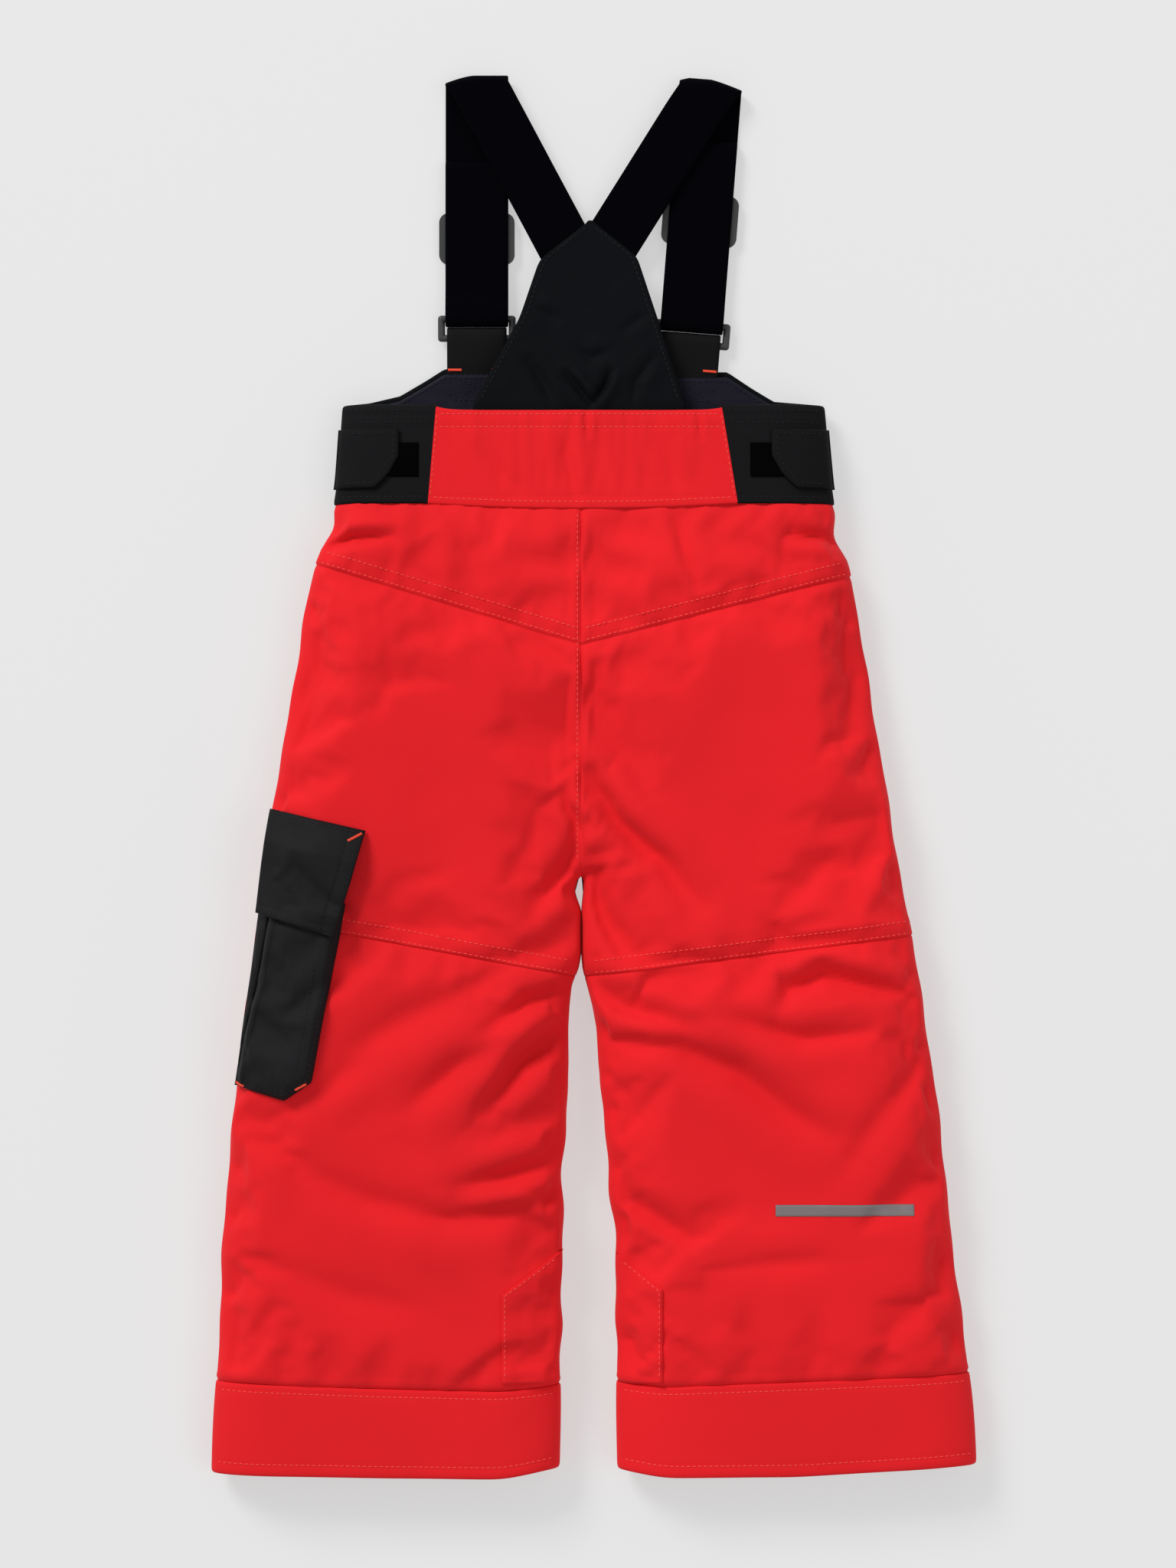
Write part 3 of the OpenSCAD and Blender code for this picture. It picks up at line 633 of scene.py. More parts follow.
def simulate(panels, growth, most, pressure, frames=22):
    """Lets cloth with a little spare length settle between its seams; gives how far each point moved."""
    points, faces, pins, counts = [], [], [], []
    for grid, sewn in panels:
        rows, columns = grid.shape[:2]
        start = sum(counts)
        index = start + np.arange(rows * columns).reshape(rows, columns)
        quads = np.stack([index[:-1, :-1], index[1:, :-1], index[1:, 1:], index[:-1, 1:]], -1)
        faces.append(quads.reshape(-1, 4))
        points.append(grid.reshape(-1, 3))
        fixed = np.zeros((rows, columns))
        fixed[sewn] = 1
        fixed[:, 0], fixed[:, -1] = 1, 1
        pins.append(fixed.ravel())
        counts.append(rows * columns)
    mesh = bpy.data.meshes.new("simulated")
    mesh.from_pydata(np.vstack(points).tolist(), [], np.vstack(faces).tolist())
    made = bpy.data.objects.new("simulated", mesh)
    bpy.context.scene.collection.objects.link(made)
    group = made.vertex_groups.new(name="sewn")
    for number in np.nonzero(np.concatenate(pins) > 0)[0].tolist():
        group.add([number], 1.0, "REPLACE")
    cloth = made.modifiers.new("cloth", "CLOTH").settings
    cloth.quality = 6
    cloth.mass = 0.25
    cloth.air_damping = 3
    cloth.tension_stiffness = 25
    cloth.compression_stiffness = 25
    cloth.shear_stiffness = 8
    cloth.bending_stiffness = 0.35
    cloth.shrink_min = -growth
    cloth.vertex_group_mass = "sewn"
    cloth.pin_stiffness = 1
    cloth.use_pressure = True
    cloth.uniform_pressure_force = pressure
    cloth.effector_weights.gravity = 0
    scene = bpy.context.scene
    scene.frame_start, scene.frame_end = 1, frames
    made.modifiers["cloth"].point_cache.frame_end = frames
    for frame_number in range(1, frames + 1):
        scene.frame_set(frame_number)
    settled = made.evaluated_get(bpy.context.evaluated_depsgraph_get()).to_mesh()
    after = np.empty(len(settled.vertices) * 3)
    settled.vertices.foreach_get("co", after)
    moved = after.reshape(-1, 3) - np.vstack(points)
    bpy.data.objects.remove(made)
    scene.frame_set(1)
    size = np.linalg.norm(moved, axis=1, keepdims=True)
    moved = moved * np.minimum(1, most / np.maximum(size, 1e-9))
    print("cloth moved up to", size.max(), "and", size.mean(), "on average")
    parts, start = [], 0
    for grid, sewn in panels:
        part = moved[start : start + grid.shape[0] * grid.shape[1]].reshape(grid.shape)
        swelling = part.copy()
        for _ in range(60):
            swelling[1:-1] = (swelling[:-2] + 2 * swelling[1:-1] + swelling[2:]) / 4
            swelling[:, 1:-1] = (swelling[:, :-2] + 2 * swelling[:, 1:-1] + swelling[:, 2:]) / 4
        parts.append(part - 0.7 * swelling)
        start += grid.shape[0] * grid.shape[1]
    return parts


def carry_over(moved, coarse, shares, coarse_shares, fine):
    """Moves a fine grid by what the coarse one moved."""
    added = np.zeros_like(fine)
    for column, share in enumerate(shares):
        at = np.interp(share, coarse_shares, np.arange(len(coarse_shares)))
        low = min(int(at), len(coarse_shares) - 2)
        part = at - low
        y = coarse[:, low, 1] * (1 - part) + coarse[:, low + 1, 1] * part
        shift = moved[:, low] * (1 - part) + moved[:, low + 1] * part
        for axis in range(3):
            added[:, column, axis] = np.interp(-fine[:, column, 1], -y, shift[:, axis])
    return fine + added


SIM_SHARES = np.linspace(0, 1, 42)
HALVES = {
    "left_hip": (left_hip, [waist_low, left_yoke_seam, left_thigh_seam], (True, False)),
    "right_hip": (right_hip, [waist_low, right_yoke_seam, right_thigh_seam], (False, True)),
    "left_leg": (left_leg, [left_thigh_seam, hem_high], (True, True)),
    "right_leg": (right_leg, [right_thigh_seam, hem_high], (True, True)),
}
coarse = {}
for name, (edges, lines, rounded) in HALVES.items():
    rows, sewn = coarse_rows(lines, 0.0052)
    grid = finish_shell(panel_points(rows, SIM_SHARES, edges, False, rounded), False)
    coarse[name] = (grid, sewn)
settled = dict(zip(coarse, simulate(list(coarse.values()), 0.045, 0.0075, 1.2)))


def soft_back(name, grid):
    """A back sheet with its folds and what the simulation moved."""
    whole = finish_shell(grid, False)
    return carry_over(settled[name], coarse[name][0], EDGED, SIM_SHARES, whole)


hip_grids = []
HIP_SEAMS = {"left_hip": (left_yoke_seam, left_thigh_seam), "right_hip": (right_yoke_seam, right_thigh_seam)}
for name, (yoke, thigh) in HIP_SEAMS.items():
    rows = hip_rows(yoke, thigh)
    edges, _, rounded = HALVES[name]
    hip_grids.append((soft_back(name, panel_points(rows, EDGED, edges, False, rounded)), True))
    hip_grids.append((panel_points(rows, EDGED, edges, True, rounded), False))
hips_shell = dress(grid_mesh("hips_shell", hip_grids), RED)
legs = {}
for side, thigh in (("left", left_thigh_seam), ("right", right_thigh_seam)):
    edges, _, rounded = HALVES[side + "_leg"]
    back = soft_back(side + "_leg", panel_points(leg_rows(thigh), EDGED, edges, False, rounded))
    front = panel_points(leg_rows(thigh), EDGED, edges, True, rounded)
    legs[side] = dress(grid_mesh(side + "_lower_leg", [(back, True), (front, False)]), RED)

# ---------------------------------------------------------------- waistband and hems


# Faces of the front sheet lie below this height
FRONT_TOP = 0.008


def cut_slot(made, centre, half_width, half_length, turn):
    """Cuts a straight opening through the front sheet."""
    solid = bmesh.new()
    solid.from_mesh(made.data)
    along = Vector((-math.sin(turn), math.cos(turn), 0))
    across = Vector((math.cos(turn), math.sin(turn), 0))
    middle = Vector((centre[0], centre[1], 0))
    margin = 0.02

    def near(face):
        offset = face.calc_center_median() - middle
        low = offset.z < FRONT_TOP and face.normal.z < 0
        in_length = abs(offset.dot(along)) < half_length + margin
        return low and in_length and abs(offset.dot(across)) < half_width + margin

    borders = ((across, half_width), (-across, half_width), (along, half_length), (-along, half_length))
    for way, reach in borders:
        faces = [face for face in solid.faces if near(face)]
        corners = list({v for f in faces for v in f.verts})
        sides = list({e for f in faces for e in f.edges})
        geometry = corners + sides + faces
        bmesh.ops.bisect_plane(solid, geom=geometry, plane_co=middle + way * reach, plane_no=way)
    inside = []
    for face in solid.faces:
        offset = face.calc_center_median() - middle
        low = offset.z < FRONT_TOP and face.normal.z < 0
        if low and abs(offset.dot(along)) < half_length and abs(offset.dot(across)) < half_width:
            inside.append(face)
    bmesh.ops.delete(solid, geom=inside, context="FACES")
    solid.to_mesh(made.data)
    solid.free()


FLY_HALF = 0.0065
FLY_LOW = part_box("fly_zip_teeth")[0].y


def fly_left(y):
    return MID_X - FLY_HALF + 0 * y


def fly_right(y):
    return MID_X + FLY_HALF + 0 * y


band_left_seam = profile(["back_waistband"], WAIST_SEAM, BAND_END, lowest_x)
band_right_seam = profile(["back_waistband"], WAIST_SEAM, BAND_END, highest_x)
waist_high = straight(BAND_END)
RED_END = BAND_END - 0.0034


def band_rows(waist_high):
    """Rows of the waistband: up the outside, over the top edge and down the inside."""
    rows = rows_along(waist_low, [(0.0030, 0.0016), (0.0004, 0.0010), (-0.0006, 0.0004), (-0.0008, -0.0001)])
    rows += rows_along(waist_low, [(0.0004, -0.0005), (0.0020, -0.0006)])
    rows += rows_between(shifted(waist_low, 0.0020), shifted(waist_high, -0.0012), -0.0006, 0.029)
    rows += rows_along(waist_high, [(-0.0012, -0.0004), (-0.0002, 0.0002), (0.0002, 0.0014)])
    rows += rows_along(waist_high, [(-0.0006, 0.0024), (-0.0025, 0.0029)])
    rows += rows_along(waist_high, [(by, 0.0030) for by in np.arange(-0.006, -0.034, -0.004)])
    return rows


BAND_FOLDS = [
    ([(-0.0140, 0.2220), (-0.0170, 0.1980), (-0.0120, 0.1720)], 0.0016, 0.006),
    ([(-0.0060, 0.2240), (-0.0040, 0.2100)], 0.0012, 0.003),
    ([(0.0420, 0.2060), (0.0500, 0.1800)], 0.0012, 0.007),
    ([(0.0640, 0.2230), (0.0660, 0.2080)], 0.0010, 0.003),
    ([(-0.0700, 0.2000), (-0.0500, 0.1760)], 0.0009, 0.008),
]


def gather(grid, front, strength):
    """Soft gathers made by the elastic inside the band."""
    x, y = grid[..., 0], grid[..., 1]
    if front:
        return grid
    spread = np.exp(-(((x - MID_X) / 0.075) ** 2))
    waves = wobble(np.stack([x, y * 0.16, 0 * x], -1), 0.0062, 5)
    level = np.clip((y - WAIST_SEAM - 0.004) / 0.012, 0, 1)
    grid[..., 2] += strength * waves * spread * level
    grid[..., 2] += 0.0006 * wobble(grid, 0.03, 6)
    grid[..., 2] += fold_depth(x, y, BAND_FOLDS)
    for line in (RED_END - 0.0105, WAIST_SEAM + 0.0035, RED_END - 0.0025):
        grid[..., 2] -= 0.00035 * np.exp(-(((y - line) / 0.0012) ** 2))
    return grid


STRAIGHT_COLUMNS = np.linspace(0, 1, 120)
RED_SIDE_Y = 0.2


def red_high(x):
    """The red panel's top edge, which rises to the side bands at its two ends."""
    to_side = np.minimum(x - band_left_seam(RED_SIDE_Y), band_right_seam(RED_SIDE_Y) - x)
    return RED_END + 0.0034 * np.exp(-to_side / 0.006)


red_edges = (band_left_seam, band_right_seam)
grid = panel_points(band_rows(red_high), STRAIGHT_COLUMNS, red_edges, False, (False, False))
band_back = dress(grid_mesh("back_waistband_panel", [(gather(grid, False, 0.0014), False)]), RED)
grids = []
fan = columns_for(50, True, False)
back_grid = panel_points(band_rows(waist_high), fan, (left_edge, band_left_seam), False, (True, False))
grids.append((gather(back_grid, False, 0.0004), False))
grids.append((panel_points(band_rows(waist_high), fan, (left_edge, fly_left), True, (True, False)), True))
band_left = dress(grid_mesh("left_waistband_side", grids), SIDE_BLACK)
grids = []
fan = columns_for(50, False, True)
back_grid = panel_points(band_rows(waist_high), fan, (band_right_seam, right_edge), False, (False, True))
grids.append((gather(back_grid, False, 0.0004), False))
grids.append((panel_points(band_rows(waist_high), fan, (fly_right, right_edge), True, (False, True)), True))
band_right = dress(grid_mesh("right_waistband_side", grids), SIDE_BLACK)

HEM_ROWS = rows_along(hem_high, [(-0.0040, 0.0022), (-0.0008, 0.0018), (0.0001, 0.0011), (0.0002, 0.0005)])
HEM_ROWS += rows_along(hem_high, [(-0.0006, -0.0002), (-0.0022, -0.0004)])
HEM_ROWS += rows_between(shifted(hem_high, -0.0022), shifted(hem_low, 0.0020), -0.0004, 0.035)
HEM_ROWS += rows_along(hem_low, [(0.0020, -0.0003), (0.0006, 0.0001), (0.0000, 0.0010), (0.0006, 0.0020)])
HEM_ROWS += rows_along(hem_low, [(0.0025, 0.0027)])
HEM_ROWS += rows_along(hem_low, [(by, 0.0029) for by in np.arange(0.006, 0.046, 0.005)])
hems = {}
for side, half in (("left", left_leg), ("right", right_leg)):
    grids = []
    for front in (False, True):
        grid = panel_points(HEM_ROWS, EDGED, half, front)
        if not front:
            grid[..., 2] += 0.0007 * wobble(grid, 0.035, 8)
            for line in (hem_high(grid[..., 0]) - 0.0035, hem_low(grid[..., 0]) + 0.0075):
                grid[..., 2] -= 0.0003 * np.exp(-(((grid[..., 1] - line) / 0.0014) ** 2))
        grids.append((grid, not front))
    hems[side] = dress(grid_mesh(side + "_hem", grids), RED)

# ---------------------------------------------------------------- linings


def inner_rows(high, low, inside, spacing=0.012):
    """Evenly spread rows of a lining, both ends included."""
    return [(between(high, low, t), inside) for t in [0] + steps(0, 1, spacing / 0.2) + [1]]


FEW = columns_for(36, True, True)
shell_tree = tree_of(hips_shell, legs["left"], legs["right"])


def tucked(grid, clearance=0.0022):
    """Keeps a lining's back sheet below the shell, folds included."""
    for spot in grid.reshape(-1, 3):
        lowest = None
        for dx, dy in ((0, 0), (0.004, 0), (-0.004, 0), (0, 0.004), (0, -0.004)):
            hit = shell_tree.ray_cast(Vector((spot[0] + dx, spot[1] + dy, ABOVE)), DOWN)[0]
            if hit is not None:
                lowest = hit.z if lowest is None else min(lowest, hit.z)
        if lowest is not None:
            spot[2] = max(0.004, min(spot[2], lowest - clearance))
    return grid


grids = []
waist_start = straight(BAND_END - 0.010)
for half, thigh in ((left_hip, left_thigh_seam), (right_hip, right_thigh_seam)):
    for front in (False, True):
        rows = inner_rows(waist_start, shifted(thigh, -0.004), 0.0045, 0.008)
        grid = panel_points(rows, FEW, half, front, (half is left_hip, half is right_hip))
        if not front:
            tucked(grid)
        grids.append((grid, not front))
hips_lining = dress(grid_mesh("hips_inner_lining", grids), NAVY)
linings, gaiters = {}, {}
for side, half, thigh in (("left", left_leg, left_thigh_seam), ("right", right_leg, right_thigh_seam)):
    grids = []
    for front in (False, True):
        rows = inner_rows(thigh, straight(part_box(side + "_shin_lining")[0].y), 0.0045, 0.010)
        grid = panel_points(rows, FEW, half, front)
        if not front:
            tucked(grid)
        grids.append((grid, not front))
    linings[side] = dress(grid_mesh(side + "_leg_lining", grids), NAVY)
    low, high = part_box(side + "_snow_gaiter")
    grids = []
    for front in (False, True):
        rows = []
        for t in np.linspace(0, 1, 22):
            ruffle = 0.0060 + 0.0010 * math.sin(9 * t)
            rows.append((straight(high.y + (low.y - high.y) * t), ruffle))
        rows += [(straight(low.y + 0.0004), 0.0078), (straight(low.y + 0.006), 0.0080)]
        grid = panel_points(rows, columns_for(90, True, True), half, front)
        ripple = np.sin(grid[..., 0] * 900 + 2 * wobble(grid, 0.02, 3))
        nearness = np.exp(-((grid[..., 1] - low.y) / 0.018) ** 2)
        grid[..., 2] += (1 if front else -1) * 0.0007 * (1 + ripple) * nearness
        if not front:
            tucked(grid, 0.0040)
        grids.append((grid, not front))
    gaiters[side] = dress(grid_mesh(side + "_gaiter", grids), BLACK)

# ---------------------------------------------------------------- flat pieces with thickness


def slab(name, grid, thickness, material, round_edge=0.5):
    """A sewn flat piece: the grid is its middle layer, and its edges are rounded."""
    grid = np.asarray(grid, float)
    down = np.gradient(grid, axis=0)
    across = np.gradient(grid, axis=1)
    normal = np.cross(across, down)
    size = np.linalg.norm(normal, axis=-1, keepdims=True)
    normal = normal / np.maximum(size, 1e-12)
    if normal[..., 2].mean() < 0:
        normal = -normal
        turned = True
    else:
        turned = False

    def outward(edge, inner):
        step = edge - inner
        step_length = np.maximum(np.linalg.norm(step, axis=-1, keepdims=True), 1e-9)
        return edge + step / step_length * thickness * round_edge

    first, last = outward(grid[:, :1], grid[:, 1:2]), outward(grid[:, -1:], grid[:, -2:-1])
    wide = np.concatenate([first, grid, last], 1)
    wide = np.concatenate([outward(wide[:1], wide[1:2]), wide, outward(wide[-1:], wide[-2:-1])], 0)
    normal = np.pad(normal, ((1, 1), (1, 1), (0, 0)), mode="edge")
    lift = np.full(wide.shape[:2], thickness / 2)
    lift[0], lift[-1], lift[:, 0], lift[:, -1] = 0, 0, 0, 0
    upper = wide + normal * lift[..., None]
    under = wide - normal * lift[..., None]
    upper[..., 2] = np.maximum(upper[..., 2], 0.0002)
    under[..., 2] = np.maximum(under[..., 2], 0.0001)
    under[0], under[-1] = upper[0], upper[-1]
    under[:, 0], under[:, -1] = upper[:, 0], upper[:, -1]
    made = grid_mesh(name, [(upper, turned), (under, not turned)], weld=0.00001)
    return dress(made, material)


def along(line, count):
    """Points evenly spaced along a line given by its corners."""
    line = np.array(line, float)
    lengths = np.concatenate([[0], np.cumsum(np.linalg.norm(line[1:] - line[:-1], axis=1))])
    places = np.linspace(0, lengths[-1], count)
    return np.stack([np.interp(places, lengths, line[:, k]) for k in range(line.shape[1])], -1)


def ruled(first, second, count_along, count_across):
    """A flat grid between two lines."""
    first, second = along(first, count_along), along(second, count_along)
    share = np.linspace(0, 1, count_across)[None, :, None]
    return first[:, None] * (1 - share) + second[:, None] * share


def laid_on(tree, flat_grid, lift, fallback=0.015):
    """Drops a flat grid onto the pieces below it."""
    rows, columns = flat_grid.shape[:2]
    grid = np.zeros((rows, columns, 3))
    for i in range(rows):
        for j in range(columns):
            x, y = flat_grid[i, j, 0], flat_grid[i, j, 1]
            hit = tree.ray_cast(Vector((x, y, ABOVE)), DOWN)[0]
            grid[i, j] = (x, y, (hit.z if hit else fallback))
    grid[..., 2] += lift
    return grid


# ---------------------------------------------------------------- cargo pocket

POUCH_LEFT = [(-0.2062, -0.080), (-0.2112, -0.120), (-0.2172, -0.160), (-0.2212, -0.1908)]
POUCH_RIGHT = [(-0.1535, -0.080), (-0.1570, -0.0993), (-0.1690, -0.160), (-0.1741, -0.1886)]
POUCH_END = (-0.1906, -0.1997)


def pouch_grid(left, right, end, rows, columns):
    grid = ruled(left, right, rows, columns)
    t = np.linspace(0, 1, columns)
    low_left, low_right = np.array(left[-1]), np.array(right[-1])
    for j in range(columns):
        if t[j] < 0.68:
            foot = low_left + (np.array(end) - low_left) * t[j] / 0.68
        else:
            foot = np.array(end) + (low_right - np.array(end)) * (t[j] - 0.68) / 0.32
        top = grid[0, j].copy()
        share = np.linspace(0, 1, rows)[:, None]
        grid[:, j] = grid[:, j] * (1 - share**3) + (top + (foot - top) * share) * share**3
    return grid


flat = pouch_grid(POUCH_LEFT, POUCH_RIGHT, POUCH_END, 60, 90)
u = np.linspace(0, 1, 90)[None, :]
v = np.linspace(0, 1, 60)[:, None]
puff = np.clip(np.minimum((1 - u) / 0.10, (1 - v) / 0.07), 0, 1) ** 0.5
puff = puff * np.clip((u + 0.02) / 0.05, 0, 1) ** 0.5
pouch = laid_on(shell_tree, flat, 0.0)
base = pouch[..., 2].copy()
level = np.maximum(base, 0.026 + 0.010 * u)
pouch[..., 2] = level + 0.0016 + 0.0065 * puff + 0.0012 * wobble(pouch, 0.018, 11) * puff
pleat_at = np.interp(v, [0, 0.12, 0.45, 0.8, 1], [0.17, 0.15, 0.12, 0.05, 0.04])
outside = np.clip((pleat_at - u) / 0.022, -1, 1)
pouch[..., 2] -= 0.0058 * (0.5 + 0.5 * outside) * np.clip((1 - v) / 0.06, 0, 1)
pouch[..., 2] += 0.0012 * np.exp(-(((u - pleat_at - 0.035) / 0.03) ** 2))
pouch[..., 2] -= 0.0022 * np.exp(-(((u - pleat_at + 0.020) / 0.018) ** 2)) * np.clip((0.93 - v) / 0.06, 0, 1)
cargo_pouch = slab("cargo_pouch_panel", pouch, 0.0016, POCKET_BLACK)
FLAP_LEFT = [(-0.1993, -0.0217), (-0.2040, -0.055), (-0.2074, -0.0840)]
FLAP_RIGHT = [(-0.1414, -0.0349), (-0.1500, -0.0660), (-0.1604, -0.0988)]
flap = laid_on(shell_tree, ruled(FLAP_LEFT, FLAP_RIGHT, 50, 40), 0.0, 0.024)
u = np.linspace(0, 1, 40)[None, :]
v = np.linspace(0, 1, 50)[:, None]
level = np.maximum(flap[..., 2], 0.027 + 0.010 * np.minimum(1, u * 1.6))
stand = 0.0018 + 0.0105 * np.clip(v / 0.30, 0, 1) ** 0.7
flap[..., 2] = level + stand + 0.0008 * wobble(flap, 0.022, 12)
flap[..., 2] -= 0.0006 * np.exp(-(((u - 0.86) / 0.02) ** 2)) + 0.0006 * np.exp(-(((v - 0.93) / 0.02) ** 2))
cargo_flap = slab("cargo_flap_panel", flap, 0.0020, POCKET_BLACK)
low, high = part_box("cargo_loop_patch")
patch = ruled([(low.x, high.y), (low.x, low.y)], [(high.x, high.y), (high.x, low.y)], 12, 12)
patch = laid_on(tree_of(cargo_pouch), patch, 0.0006, 0.03)
cargo_patch = slab("cargo_loop_strip", patch, 0.0012, LOOPS)

# ---------------------------------------------------------------- bib, back panel and straps

bib_ends = {}
bibs = {}
for side in ("left", "right"):
    ends = edge_ends([side + "_bib"])
    low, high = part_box(side + "_bib")
    xs = np.linspace(low.x + 0.0006, high.x - 0.0006, 60)
    tops = np.array([cut(ends, x, 0)[:, 1].max() for x in xs])
    bib_ends[side] = (xs, tops)
    v = np.linspace(0, 1, 26)[:, None]
    y = tops[None, :] + (0.203 - tops[None, :]) * v
    rise = np.clip((0.238 - y) / 0.012, 0, 1)
    z = 0.0025 + 0.0016 * rise
    uneven_by = 0.0003 * wobble(np.stack([xs + 0 * y, y, 0 * y], -1), 0.02, 21)
    grid = np.stack([xs[None, :] + 0 * y, y, z + uneven_by], -1)
    bibs[side] = slab(side + "_bib_panel", grid, 0.0018, BLACK)

lining_x = np.concatenate([bib_ends["left"][0], bib_ends["right"][0]])
lining_top = np.concatenate([bib_ends["left"][1], bib_ends["right"][1]])
keep = (lining_x > lining_x[0] + 0.004) & (lining_x < lining_x[-1] - 0.004)
lining_x, lining_top = lining_x[keep], lining_top[keep] - 0.0036
v = np.linspace(0, 1, 30)[:, None]
y = lining_top[None, :] + (0.203 - lining_top[None, :]) * v
z = 0.0062 + 0.0012 * np.clip((0.236 - y) / 0.012, 0, 1)
grid = np.stack([lining_x[None, :] + 0 * y, y, z], -1)
grid[..., 2] += 0.0006 * wobble(grid, 0.016, 22) + 0.0003 * wobble(grid, 0.007, 23)
bib_lining = slab("bib_inner_lining", grid, 0.0018, NAVY)


def ribbon(name, centres, sides, thickness, material, columns=15):
    """A strap swept along its centre line; sides are half-width vectors."""
    centres, sides = np.array(centres), np.array(sides)
    share = np.linspace(-1, 1, columns)[None, :, None]
    grid = centres[:, None] + sides[:, None] * share
    tangent = np.gradient(centres, axis=0)
    normal = np.cross(sides, tangent)
    normal /= np.maximum(np.linalg.norm(normal, axis=1, keepdims=True), 1e-12)
    upper = grid + normal[:, None] * (thickness / 2)
    under = grid - normal[:, None] * (thickness / 2)
    brim = sides / np.linalg.norm(sides, axis=1, keepdims=True) * thickness * 0.35
    first, last = grid[:, :1] - brim[:, None], grid[:, -1:] + brim[:, None]
    upper = np.concatenate([first, upper, last], 1)
    under = np.concatenate([first, under, last], 1)
    stop = (upper[:1] + under[:1]) / 2, (upper[-1:] + under[-1:]) / 2
    upper = np.concatenate([stop[0], upper, stop[1]], 0)
    under = np.concatenate([stop[0], under, stop[1]], 0)
    made = grid_mesh(name, [(upper, False), (under, True)], weld=0.00001)
    return dress(made, material)


def smooth_path(points, spacing, soft=2):
    """A path through these points, evenly spaced and with its corners softened."""
    points = np.array(points, float)
    length = np.linalg.norm(points[1:] - points[:-1], axis=1).sum()
    path = along(points, max(8, round(length / spacing)))
    for _ in range(soft):
        path[1:-1] = (path[:-2] + 2 * path[1:-1] + path[2:]) / 4
    return path


def arc_points(y, z, radius, start, stop, count=9):
    """Points (y, z) round an arc, its ends given in degrees."""
    turn = np.radians(np.linspace(start, stop, count))
    return [(y + radius * math.cos(t), z + radius * math.sin(t)) for t in turn]


STRAP_HALF = 0.0190
BAR_Z = (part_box("left_ring")[0].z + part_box("left_ring")[1].z) / 2
# The strap's loop is tall enough for the ring to swing in it
LOOP_Z = BAR_Z + 0.0009
LOOP_TALL = 1.25
SPOTS = {
    "left": dict(origin=(-0.0730, 0.2718), lean=0.0, slider=0.062,
        cover_end=0.110, top=0.1634, drift=0.534),
    "right": dict(origin=(0.0599, 0.2682), lean=4.5, slider=0.0775,
        cover_end=0.127, top=0.1650, drift=-0.627),
}
straps, tabs = {}, {}
for side, spot in SPOTS.items():
    lean = math.radians(spot["lean"])
    across = np.array((math.cos(lean), -math.sin(lean), 0))
    upward = np.array((math.sin(lean), math.cos(lean), 0))
    origin = np.array((*spot["origin"], 0))

    def placed(pairs):
        return np.array([origin + upward * y + np.array((0, 0, z)) for y, z in pairs])

    slider = spot["slider"]
    cover_end = spot["cover_end"]
    path = [(cover_end, 0.0028), (cover_end - 0.0006, 0.0046), (cover_end - 0.0022, 0.0062)]
    path += [(slider + 0.016, 0.0062), (slider - 0.016, 0.0062), (0.028, 0.0063), (0.0180, 0.0094)]
    loop = arc_points(0.0106, LOOP_Z, 0.0034, 80, 280, 11)
    path += [(y, LOOP_Z + LOOP_TALL * (z - LOOP_Z)) for y, z in loop]
    path += [(0.024, 0.0013), (slider, 0.0011), (spot["top"] - 0.006, 0.0011)]
    path += arc_points(spot["top"] - 0.0043, 0.00535, 0.00425, -80, 80, 9)
    local = smooth_path(path, 0.0022)
    first = placed(local)
    first_sides = np.tile(across * STRAP_HALF, (len(first), 1))
    begin = first[-1]
    fall = np.linspace(0, 1, 70)[1:]
    depth = begin[1] - 0.317
    second = np.stack([
        begin[0] + spot["drift"] * depth * fall,
        begin[1] - depth * fall,
        0.0096 + 0.0004 * np.sin(fall * 9) + 0.0008 * fall,
    ], -1)
    second_sides = np.tile(across * STRAP_HALF, (len(second), 1))
    centres, sides = np.vstack([first, second]), np.vstack([first_sides, second_sides])
    straps[side] = ribbon(side + "_shoulder_strap", centres, sides, 0.0016, WEBBING)
    points = vertices_of(straps[side])
    from_origin = points - origin
    sideways, height_up = from_origin @ across, from_origin @ upward
    near_top = np.clip((height_up - spot["top"] + 0.022) / 0.022, 0, 1) ** 2
    if side == "left":
        slope = 0.0046 * np.clip(-(sideways + 0.002) / 0.017, 0, 1) ** 1.4
    else:
        slope = 0.0052 * np.clip(sideways / 0.019, 0, 1) ** 1.2
        slope += 0.0016 * np.clip(-(sideways + 0.014) / 0.005, 0, 1)
    set_vertices(straps[side], points - upward * (slope * near_top)[:, None])
    tab = [(-0.040, 0.0050), (-0.025, 0.0052), (-0.014, 0.0066)]
    tab += arc_points(0.0034, BAR_Z, 0.0034, 100, -100, 11)
    tab += [(-0.012, 0.0020), (-0.024, 0.0036), (-0.040, 0.0040)]
    tab_path = placed(smooth_path(tab, 0.0020))
    tab_sides = np.tile(across * 0.0180, (len(tab_path), 1))
    tabs[side] = ribbon(side + "_tab", tab_path, tab_sides, 0.0015, SIDE_BLACK)

